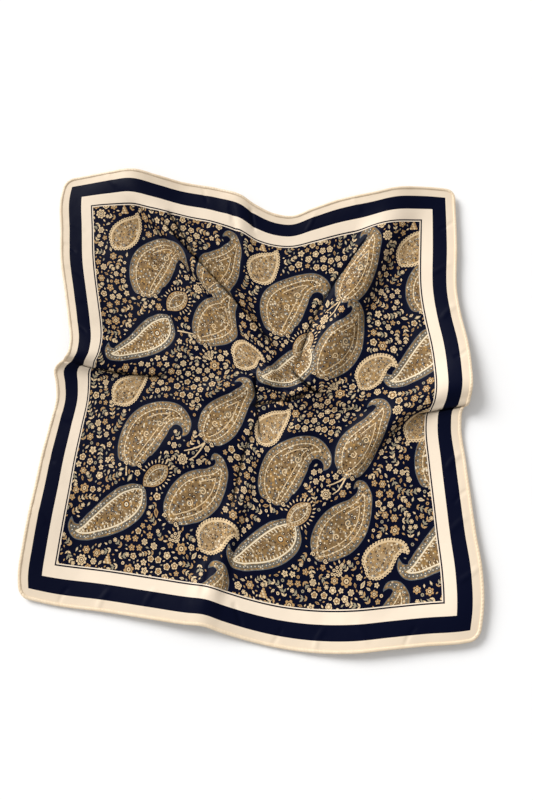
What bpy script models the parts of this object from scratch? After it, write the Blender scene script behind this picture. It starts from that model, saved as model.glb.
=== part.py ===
"""A square neck scarf in printed satin, dropped on a table: one panel of cloth and four rolled hems.

The cloth is described flat first. A point of it is (across, down) in millimetres, measured from
its top left corner to the right and towards the near edge. drape() lays such a point in space:
the four edges follow short tables, and the folds inside follow a third one. +X runs to the
scarf's right, +Y to its far edge, +Z up, and the cloth rests on z = 0.
"""

from collections import namedtuple

import bmesh
import bpy
import numpy as np

MM = 0.001

# The flat scarf, in millimetres.
CUT = 530.0  # side of the hemmed square
WALL = 1.2  # thickness of the cloth's solid
HEM_ROLL = 3.0  # diameter of the rolled hem
SEAM_GAP = 0.3  # between the panel and its hems, and between two hems
OUTER_BAND = 11.5  # cream band, the hem included
DARK_BAND = 16.5  # navy band
INNER_BAND = 15.0  # cream band and its two thin lines
PANEL_INSET = HEM_ROLL + SEAM_GAP
CORNER_RADIUS = OUTER_BAND - PANEL_INSET  # the panel's corners are cut round
FIELD_INSET = OUTER_BAND + DARK_BAND + INNER_BAND

# The dropped scarf, in millimetres.
REST_DEPTH = 3.0  # how far the cloth's form would sink below the table if that were soft
REST_SOFTNESS = 2.0  # half of the height over which the cloth leaves the table
EDGE_FADE = 90.0  # how far an edge's height and its short waves reach into the cloth
EDGE_BROAD = 24.0  # waves of an edge much longer than this reach right across
EDGE_STEP = 0.5  # spacing of the points that an edge is worked out at
GATHER_REACH = 4.0  # how far a fold draws cloth in, in its own half widths
STEEPEST = 0.04  # least share, squared, that a steep side keeps of its width seen from above

Corner = namedtuple("Corner", "x y")
FAR_LEFT = Corner(-250.4, 280.1)
FAR_RIGHT = Corner(238.6, 255.1)
NEAR_RIGHT = Corner(248.6, -266.9)
NEAR_LEFT = Corner(-248.4, -239.9)

# Along an edge: run of the flat cloth, offset outwards from the straight chord, height.
Station = namedtuple("Station", "run out up")
FAR_EDGE = [
    Station(0, 0, 6),
    Station(28, 5, 8),
    Station(63, 9, 14),
    Station(99, 9, 22),
    Station(131, 4, 17),
    Station(164, -1, 10),
    Station(213, -8, 9),
    Station(247, -18, 12),
    Station(267, -27, 7),
    Station(301, -38, 2),
    Station(317, -39, 1),
    Station(348, -29, 4),
    Station(380, -19, 8),
    Station(427, -10, 14),
    Station(457, -3, 15),
    Station(488, 1, 10),
    Station(530, 0, 7),
]
RIGHT_EDGE = [
    Station(0, 0, 7),
    Station(74, -1, 8),
    Station(136, -4, 9),
    Station(167, -1, 12),
    Station(198, 4, 15),
    Station(228, 6, 18),
    Station(256, 5, 20),
    Station(270, 2, 14),
    Station(283, -5, 8),
    Station(299, -7, 5),
    Station(340, -4, 4),
    Station(380, -1, 6),
    Station(419, 2, 8),
    Station(457, 6, 10),
    Station(493, 6, 9),
    Station(530, 0, 6),
]
NEAR_EDGE = [
    Station(0, 0, 4),
    Station(44, 5, 3),
    Station(102, 7, 5),
    Station(160, 10, 8),
    Station(202, 12, 11),
    Station(221, 12, 12),
    Station(244, 17, 8),
    Station(271, 22, 4),
    Station(313, 27, 3),
    Station(353, 28, 5),
    Station(392, 25, 8),
    Station(431, 18, 9),
    Station(470, 11, 8),
    Station(509, 5, 7),
    Station(530, 0, 6),
]
LEFT_EDGE = [
    Station(0, 0, 6),
    Station(28, 4, 6),
    Station(70, 0, 5),
    Station(111, -5, 6),
    Station(153, -15, 8),
    Station(194, -25, 12),
    Station(228, -32, 17),
    Station(240, -31, 18),
    Station(254, -22, 13),
    Station(268, -13, 7),
    Station(282, -15, 4),
    Station(298, -17, 2),
    Station(334, -12, 1),
    Station(370, -7, 3),
    Station(405, -4, 5),
    Station(439, -1, 8),
    Station(472, 2, 7),
    Station(505, 4, 5),
    Station(530, 0, 4),
]

# A fold's crest runs through three points of the flat cloth, with a height at each. left and right
# are its half widths on either hand of someone who walks from start to end, and lean is how far
# the crest tips over to the right, as a share of its height.
Fold = namedtuple("Fold", "name start middle end heights left right lean")
FOLDS = [
    Fold("long pleat", (98, 0), (185, 92), (268, 190), (16, 19, 9), 44, 38, 0.35),
    Fold("pleat's shoulder", (158, 0), (222, 70), (262, 130), (6, 8, 4), 30, 30, 0.0),
    Fold("right slant", (455, 0), (405, 98), (332, 208), (12, 20, 12), 46, 36, 0.3),
    Fold("left edge ridge", (0, 238), (95, 243), (195, 232), (17, 12, 3), 46, 34, 0.2),
    Fold("right edge ridge", (530, 262), (440, 282), (372, 372), (19, 15, 4), 32, 46, -0.4),
    Fold("near kink", (222, 530), (240, 440), (272, 330), (11, 8, 6), 30, 20, 0.3),
    Fold("far notch", (248, 0), (258, 60), (268, 110), (11, 7, 0), 22, 18, 0.0),
    Fold("middle crumple", (272, 222), (303, 242), (332, 262), (7, 11, 4), 26, 22, 0.2),
    Fold("middle to left", (268, 228), (215, 262), (150, 280), (8, 8, 2), 30, 26, 0.0),
    Fold("middle to right", (322, 222), (378, 250), (440, 248), (8, 8, 3), 28, 32, 0.0),
    Fold("low swell, left", (90, 400), (150, 352), (228, 330), (4, 8, 8), 52, 44, 0.0),
    Fold("low swell, right", (318, 300), (345, 390), (400, 470), (9, 8, 5), 44, 50, 0.0),
    Fold("low swell, far left", (40, 60), (110, 130), (150, 190), (5, 8, 4), 44, 48, 0.0),
]

# Stretches of the cloth, with the number of cells that the mesh has in each.
Stretch = namedtuple("Stretch", "start stop cells")
BORDER = [
    Stretch(PANEL_INSET, OUTER_BAND, 3),
    Stretch(OUTER_BAND, OUTER_BAND + DARK_BAND, 1),
    Stretch(OUTER_BAND + DARK_BAND, FIELD_INSET, 1),
]
FIELD_ACROSS = [
    Stretch(FIELD_INSET, 120.0, 7),
    Stretch(120.0, 320.0, 22),
    Stretch(320.0, CUT - FIELD_INSET, 13),
]
FIELD_DOWN = [
    Stretch(FIELD_INSET, 225.0, 16),
    Stretch(225.0, 300.0, 10),
    Stretch(300.0, CUT - FIELD_INSET, 16),
]

# (colour, roughness) of the cloth's finishes.
CREAM = ((0.84, 0.74, 0.60), 0.42)
NAVY = ((0.006, 0.009, 0.035), 0.38)
PRINT = ((0.16, 0.13, 0.09), 0.45)
HEM_CREAM = ((0.80, 0.67, 0.50), 0.55)


def smooth_through(run, values, at):
    """A smooth curve through (run, values), read at each of at, with no overshoot worth the name."""
    run, values = np.asarray(run, float), np.asarray(values, float)
    slopes = np.gradient(values, run)
    i = np.clip(np.searchsorted(run, at, side="right") - 1, 0, len(run) - 2)
    step = run[i + 1] - run[i]
    t = (at - run[i]) / step
    return (
        (2 * t**3 - 3 * t**2 + 1) * values[i]
        + (t**3 - 2 * t**2 + t) * step * slopes[i]
        + (3 * t**2 - 2 * t**3) * values[i + 1]
        + (t**3 - t**2) * step * slopes[i + 1]
    )


def smooth_step(t):
    """0 up to t = 0, 1 from t = 1, and a soft rise between them."""
    t = np.clip(t, 0.0, 1.0)
    return t * t * (3 - 2 * t)


def broadened(values):
    """A curve that starts and ends at 0, without its short waves."""
    half = int(3 * EDGE_BROAD / EDGE_STEP)
    kernel = np.exp(-0.5 * (np.arange(-half, half + 1) * EDGE_STEP / EDGE_BROAD) ** 2)
    mirrored = np.concatenate([-values[half:0:-1], values, -values[-2 : -half - 2 : -1]])
    return np.convolve(mirrored, kernel / kernel.sum(), mode="valid")


def edge_curve(table, start, end, outward):
    """A function from a run along this edge to its plan, what its short waves add, and its height.

    The plan's steps are as long as what is left of the flat cloth's length.
    """
    run, out, up = (np.array(column, float) for column in zip(*table))
    fine = np.arange(0.0, CUT + EDGE_STEP / 2, EDGE_STEP)
    offset = smooth_through(run, out, fine)
    height = smooth_through(run, up, fine)
    spare = EDGE_STEP**2 - np.diff(offset) ** 2 - np.diff(height) ** 2
    forward = np.sqrt(np.maximum(spare, STEEPEST * EDGE_STEP**2))
    uneven = np.concatenate([[0.0], np.cumsum(forward)]) / forward.sum() - fine / CUT
    start, chord = np.array(start), np.array(end) - np.array(start)
    normal = np.array([chord[1], -chord[0]]) / np.linalg.norm(chord) * outward
    away = uneven[:, None] * chord + offset[:, None] * normal
    broad = broadened(uneven)[:, None] * chord + broadened(offset)[:, None] * normal

    def read(curve, distance):
        return np.stack([np.interp(distance, fine, column) for column in curve.T], -1)

    def at(distance):
        plan = start + (distance / CUT)[..., None] * chord + read(broad, distance)
        return plan, read(away - broad, distance), np.interp(distance, fine, height)

    return at


far_edge = edge_curve(FAR_EDGE, FAR_LEFT, FAR_RIGHT, -1)
near_edge = edge_curve(NEAR_EDGE, NEAR_LEFT, NEAR_RIGHT, 1)
left_edge = edge_curve(LEFT_EDGE, FAR_LEFT, NEAR_LEFT, 1)
right_edge = edge_curve(RIGHT_EDGE, FAR_RIGHT, NEAR_RIGHT, -1)


def between_edges(across, down):
    """(plan, height, share): the form that the edges give, and how far it counts at each point."""
    far, far_waves, far_up = far_edge(across)
    near, near_waves, near_up = near_edge(across)
    left, left_waves, left_up = left_edge(down)
    right, right_waves, right_up = right_edge(down)
    u, v = (across / CUT)[..., None], (down / CUT)[..., None]
    corners = (
        (1 - u) * (1 - v) * np.array(FAR_LEFT)
        + u * (1 - v) * np.array(FAR_RIGHT)
        + u * v * np.array(NEAR_RIGHT)
        + (1 - u) * v * np.array(NEAR_LEFT)
    )
    plan = (1 - v) * far + v * near + (1 - u) * left + u * right - corners
    to_left, to_right, to_far, to_near = (
        1 - smooth_step(distance / EDGE_FADE) for distance in (across, CUT - across, down, CUT - down)
    )
    for fade, waves in (
        (to_left, left_waves),
        (to_right, right_waves),
        (to_far, far_waves),
        (to_near, near_waves),
    ):
        plan = plan + fade[..., None] * waves
    height = (
        to_far * far_up + to_near * near_up + to_left * left_up + to_right * right_up
        - to_left * to_far * FAR_EDGE[0].up
        - to_right * to_far * FAR_EDGE[-1].up
        - to_right * to_near * NEAR_EDGE[-1].up
        - to_left * to_near * NEAR_EDGE[0].up
    )
    share = 1 - (1 - to_left) * (1 - to_right) * (1 - to_far) * (1 - to_near)
    return plan, height, share


def through_three(t, first, middle, last):
    """The quadratic that takes these values at t = 0, 0.5 and 1."""
    return first * (1 - t) * (1 - 2 * t) + 4 * middle * t * (1 - t) + last * t * (2 * t - 1)


def bump(reach):
    """A fold's section: 1 on its crest, and 0 at its half width and past it."""
    return np.maximum(1 - reach**2, 0.0) ** 2


def plan_reach(reach, steepness):
    """How far from the crest, seen from above, cloth lies that is reach from it along the cloth.

    Both are in half widths. steepness is the fold's height over its half width.
    """
    nodes, weights = np.polynomial.legendre.leggauss(8)
    inside = np.minimum(reach, 1.0)
    total = np.zeros_like(reach)
    for node, weight in zip(nodes, weights):
        at = inside * (1 + node) / 2
        slope = steepness * 4 * at * (1 - at**2)
        total += weight / 2 * inside * np.sqrt(np.maximum(1 - slope**2, STEEPEST))
    return total + reach - inside


def fold_form(fold, across, down):
    """(shift across, shift down, height) that this fold gives each point of the flat cloth."""
    t = np.linspace(0.0, 1.0, 81)
    crest = np.stack([through_three(t, *axis) for axis in zip(fold.start, fold.middle, fold.end)], -1)
    tangent = np.gradient(crest, axis=0)
    tangent /= np.linalg.norm(tangent, axis=1)[:, None]
    away = np.stack([across, down], -1)[..., None, :] - crest
    nearest = np.argmin((away**2).sum(-1), axis=-1)
    away = np.take_along_axis(away, nearest[..., None, None], axis=-2)[..., 0, :]
    # down grows towards the near edge, so the walker's right hand is (-tangent_down, tangent_across).
    right_hand = np.stack([-tangent[nearest, 1], tangent[nearest, 0]], -1)
    distance = np.linalg.norm(away, axis=-1)
    outward = away / np.maximum(distance, 1e-6)[..., None]
    handed = (outward * right_hand).sum(-1)
    width = (fold.left + fold.right) / 2 + handed * (fold.right - fold.left) / 2
    reach = distance / width
    crest_height = np.maximum(through_three(t[nearest], *fold.heights), 0.0)
    height = crest_height * bump(reach)
    drawn_in = (reach - plan_reach(reach, crest_height / width)) * width
    drawn_in *= 1 - smooth_step((reach - 1) / (GATHER_REACH - 1))
    shift = (fold.lean * height)[..., None] * right_hand - drawn_in[..., None] * outward
    return shift[..., 0], shift[..., 1], height


def leave_table(height):
    """Heights below the table come to 0, with a soft start above it."""
    soft = (height + REST_SOFTNESS) ** 2 / (4 * REST_SOFTNESS)
    return np.where(height > REST_SOFTNESS, height, np.where(height > -REST_SOFTNESS, soft, 0.0))


def drape(across, down):
    """The place of the cloth's underside, in millimetres, for points of the flat cloth."""
    across, down = np.asarray(across, float), np.asarray(down, float)
    plan, height, share = between_edges(across, down)
    inner_height = np.full(across.shape, -REST_DEPTH)
    for fold in FOLDS:
        shift_across, shift_down, lift = fold_form(fold, across, down)
        plan[..., 0] += (1 - share) * shift_across
        plan[..., 1] -= (1 - share) * shift_down
        inner_height += lift
    height = leave_table(height + (1 - share) * inner_height)
    return np.concatenate([plan, height[..., None]], -1)


def stations(field):
    """Where the mesh's lines cross the flat cloth, from one edge to the other."""
    far_border = [Stretch(CUT - part.stop, CUT - part.start, part.cells) for part in reversed(BORDER)]
    lines = [np.array([PANEL_INSET])]
    for part in BORDER + field + far_border:
        lines.append(np.linspace(part.start, part.stop, part.cells + 1)[1:])
    return np.concatenate(lines)


def round_corners(across, down):
    """The same points, with those in the panel's four corners drawn in to a quarter circle."""
    inner = CUT / 2 - PANEL_INSET - CORNER_RADIUS
    x, y = across - CUT / 2, down - CUT / 2
    over_x = np.clip((np.abs(x) - inner) / CORNER_RADIUS, 0.0, 1.0)
    over_y = np.clip((np.abs(y) - inner) / CORNER_RADIUS, 0.0, 1.0)
    x = x - np.sign(x) * CORNER_RADIUS * over_x * (1 - np.sqrt(1 - over_y**2 / 2))
    y = y - np.sign(y) * CORNER_RADIUS * over_y * (1 - np.sqrt(1 - over_x**2 / 2))
    return x + CUT / 2, y + CUT / 2


def panel_points():
    """The panel's underside as a grid of points: a row for each line down, a column across."""
    across, down = np.meshgrid(stations(FIELD_ACROSS), stations(FIELD_DOWN))
    return drape(*round_corners(across, down))


def material(name, finish):
    """A satin finish with this (colour, roughness)."""
    colour, roughness = finish
    made = bpy.data.materials.new(name)
    made.use_nodes = True
    shader = made.node_tree.nodes["Principled BSDF"]
    shader.inputs["Base Color"].default_value = (*colour, 1.0)
    shader.inputs["Roughness"].default_value = roughness
    shader.inputs["Sheen Weight"].default_value = 0.2
    made.diffuse_color = (*colour, 1.0)
    return made


def band_of(distance):
    """The panel's material slot at this distance from the cloth's edge."""
    if distance < OUTER_BAND:
        return 0
    if distance < OUTER_BAND + DARK_BAND:
        return 1
    return 0 if distance < FIELD_INSET else 2


def make_panel(points, collection):
    """The printed square: a grid laid on the draped points, thickened upwards."""
    rows, columns = points.shape[:2]
    cloth = bmesh.new()
    bmesh.ops.create_grid(cloth, x_segments=columns - 1, y_segments=rows - 1, size=0.5)
    lines_across, lines_down = stations(FIELD_ACROSS), stations(FIELD_DOWN)
    for face in cloth.faces:
        middle = face.calc_center_median()
        column = int((middle.x + 0.5) * (columns - 1))
        row = int((0.5 - middle.y) * (rows - 1))
        across = (lines_across[column] + lines_across[column + 1]) / 2
        down = (lines_down[row] + lines_down[row + 1]) / 2
        face.material_index = band_of(min(across, CUT - across, down, CUT - down))
    for vertex in cloth.verts:
        column = round((vertex.co.x + 0.5) * (columns - 1))
        row = round((0.5 - vertex.co.y) * (rows - 1))
        vertex.co = points[row, column] * MM
    mesh = bpy.data.meshes.new("printed_square")
    cloth.to_mesh(mesh)
    cloth.free()
    for name, finish in (("cream_satin", CREAM), ("navy_satin", NAVY), ("printed_satin", PRINT)):
        mesh.materials.append(material(name, finish))
    mesh.shade_smooth()
    panel = bpy.data.objects.new("printed_square", mesh)
    collection.objects.link(panel)
    wall = panel.modifiers.new("wall", "SOLIDIFY")
    wall.thickness = WALL * MM
    wall.offset = 1.0
    return panel


def outline(points):
    """The panel's edge as a closed loop, from the far left corner over the far right one."""
    return np.concatenate([points[0, :-1], points[:-1, -1], points[-1, :0:-1], points[:0:-1, 0]])


def hem_line(loop):
    """The hem's middle line, beside each point of the panel's edge and as high as its roll needs."""
    forward = np.roll(loop, -1, axis=0)[:, :2] - np.roll(loop, 1, axis=0)[:, :2]
    forward /= np.linalg.norm(forward, axis=1)[:, None]
    outward = np.stack([-forward[:, 1], forward[:, 0]], -1)
    line = loop.copy()
    line[:, :2] += outward * (SEAM_GAP + HEM_ROLL / 2)
    line[:, 2] += HEM_ROLL / 2
    return line


def make_hem(name, line, finish, collection):
    """One rolled hem: a round tube along its line, parted from the next hem at both ends."""
    line = line.copy()
    for end, inner in ((0, 1), (-1, -2)):
        way = line[inner] - line[end]
        line[end] += way / np.linalg.norm(way) * SEAM_GAP / 2
    curve = bpy.data.curves.new(name, "CURVE")
    curve.dimensions = "3D"
    curve.bevel_depth = HEM_ROLL / 2 * MM
    curve.bevel_resolution = 2
    curve.use_fill_caps = True
    spline = curve.splines.new("POLY")
    spline.points.add(len(line) - 1)
    for point, place in zip(spline.points, line * MM):
        point.co = (*place, 1.0)
    curve.materials.append(finish)
    hem = bpy.data.objects.new(name, curve)
    collection.objects.link(hem)
    return hem


def make_hems(points, collection):
    """The four hems, one along each edge of the panel."""
    rows, columns = points.shape[:2]
    line = hem_line(outline(points))
    line = np.concatenate([line, line[:1]])
    finish = material("rolled_hem", HEM_CREAM)
    first = 0
    for name, cells in (
        ("hem_far", columns - 1),
        ("hem_right", rows - 1),
        ("hem_near", columns - 1),
        ("hem_left", rows - 1),
    ):
        make_hem(name, line[first : first + cells + 1], finish, collection)
        first += cells


def main():
    for leftover in list(bpy.data.objects):
        bpy.data.objects.remove(leftover)
    scarf = bpy.data.collections.new("neck_scarf")
    bpy.context.scene.collection.children.link(scarf)
    points = panel_points()
    make_panel(points, scarf)
    make_hems(points, scarf)


main()
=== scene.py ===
"""A square neck scarf in printed satin, lying where it was dropped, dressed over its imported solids.

The cloth is described flat first: a point of it is (across, down) in millimetres from the far left
corner. ClothForm lays such a point in space as the solids lie, and adds the finer creases.
PrintDesign draws the pattern on the flat cloth as closed shapes in a few inks, and PrintedCloth
inlays these shapes in the cloth's own mesh, so the print is part of the surface.
"""

import logging
import math
import random
from dataclasses import dataclass
from enum import Enum
from typing import Callable, NamedTuple, Sequence

import bmesh
import bpy
import numpy as np
from mathutils import Matrix, Vector
from mathutils.geometry import delaunay_2d_cdt


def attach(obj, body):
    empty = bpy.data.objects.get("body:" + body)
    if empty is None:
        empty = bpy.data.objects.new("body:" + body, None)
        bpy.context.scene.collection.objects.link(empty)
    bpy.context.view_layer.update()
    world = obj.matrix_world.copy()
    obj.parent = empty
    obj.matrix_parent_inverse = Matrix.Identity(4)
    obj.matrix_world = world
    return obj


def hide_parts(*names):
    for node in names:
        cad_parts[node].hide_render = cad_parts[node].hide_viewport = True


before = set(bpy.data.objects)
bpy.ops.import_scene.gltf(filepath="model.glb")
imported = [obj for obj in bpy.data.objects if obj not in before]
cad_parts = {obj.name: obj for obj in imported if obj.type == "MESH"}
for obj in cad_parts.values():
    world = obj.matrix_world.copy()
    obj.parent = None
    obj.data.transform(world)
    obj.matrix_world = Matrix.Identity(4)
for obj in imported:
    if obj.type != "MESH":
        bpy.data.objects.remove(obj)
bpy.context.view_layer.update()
LOG = logging.getLogger("scarf")

Array = np.ndarray
Pair = tuple[float, float]

MM = 0.001
CUT = 530.0  # side of the hemmed square, in millimetres
OUTER_BAND = 12.2
DARK_BAND = 16.4
LINE_INSET = 41.4
LINE_WIDTH = 1.6
FIELD_INSET = 44.2
CORNER_RADIUS = 11.5


def smooth_step(t: Array) -> Array:
    """0 up to t = 0, 1 from t = 1, and a soft rise between them."""
    t = np.clip(t, 0.0, 1.0)
    return t * t * (3 - 2 * t)


def unit(vectors: Array) -> Array:
    """The same directions, each at length 1."""
    return vectors / np.linalg.norm(vectors, axis=-1, keepdims=True)


def right_of(way: Array) -> Array:
    """These directions of the flat cloth, turned a quarter to the walker's right hand."""
    return np.stack([-way[..., 1], way[..., 0]], -1)


def polar(x: float, y: float, reach: Array | float, angle: Array) -> Array:
    """Points this far from (x, y), in these directions."""
    return np.stack([x + reach * np.cos(angle), y + reach * np.sin(angle)], -1)


def stepped(x: float, y: float, reach: float, turn: float) -> Pair:
    """The place one step of this reach away from (x, y)."""
    return x + reach * math.cos(turn), y + reach * math.sin(turn)


def linear(red: int, green: int, blue: int) -> tuple[float, float, float]:
    """A colour given as a screen shows it, 0 to 255, in the renderer's linear values."""
    return tuple(
        c / 12.92 if c <= 0.04045 else ((c + 0.055) / 1.055) ** 2.4
        for c in (red / 255, green / 255, blue / 255)
    )


def table(kind: type, *rows: Sequence) -> tuple:
    """The rows of a table as tuples with named columns."""
    return tuple(kind(*row) for row in rows)


def linked(name: str, data: bpy.types.ID) -> bpy.types.Object:
    """A new object in the scene.

    Args:
        name: its name.
        data: its mesh, light or camera.

    Returns:
        The object.
    """
    made = bpy.data.objects.new(name, data)
    bpy.context.scene.collection.objects.link(made)
    return made


def new_piece(name: str, mesh: bpy.types.Mesh, finish: bpy.types.Material) -> bpy.types.Object:
    """Puts a mesh in the scene under this name, with its finish and its origin at the world's.

    Args:
        name: its name.
        mesh: its mesh.
        finish: its material.

    Returns:
        The object.
    """
    mesh.materials.append(finish)
    LOG.info("%s: %d faces", name, len(mesh.polygons))
    return linked(name, mesh)


# ---------------------------------------------------------------- the cloth's form


class Station(NamedTuple):
    """A place along an edge: run of the flat cloth, offset outwards from the chord, height."""

    run: float
    out: float
    up: float


class Fold(NamedTuple):
    """A fold of the cloth: its crest on the flat cloth, heights, half widths and lean."""

    name: str
    start: Pair
    middle: Pair
    end: Pair
    heights: tuple[float, float, float]
    left: float
    right: float
    lean: float


class Crease(NamedTuple):
    """A fine crease: a soft ridge, or a trough where its height is negative, along a curve.

    Where tuck isn't 0, the cloth on the walker's right hand laps this far over the trough, or the
    cloth on the left hand where tuck is negative.
    """

    start: Pair
    middle: Pair
    end: Pair
    height: float
    reach: float
    tuck: float = 0.0


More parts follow.
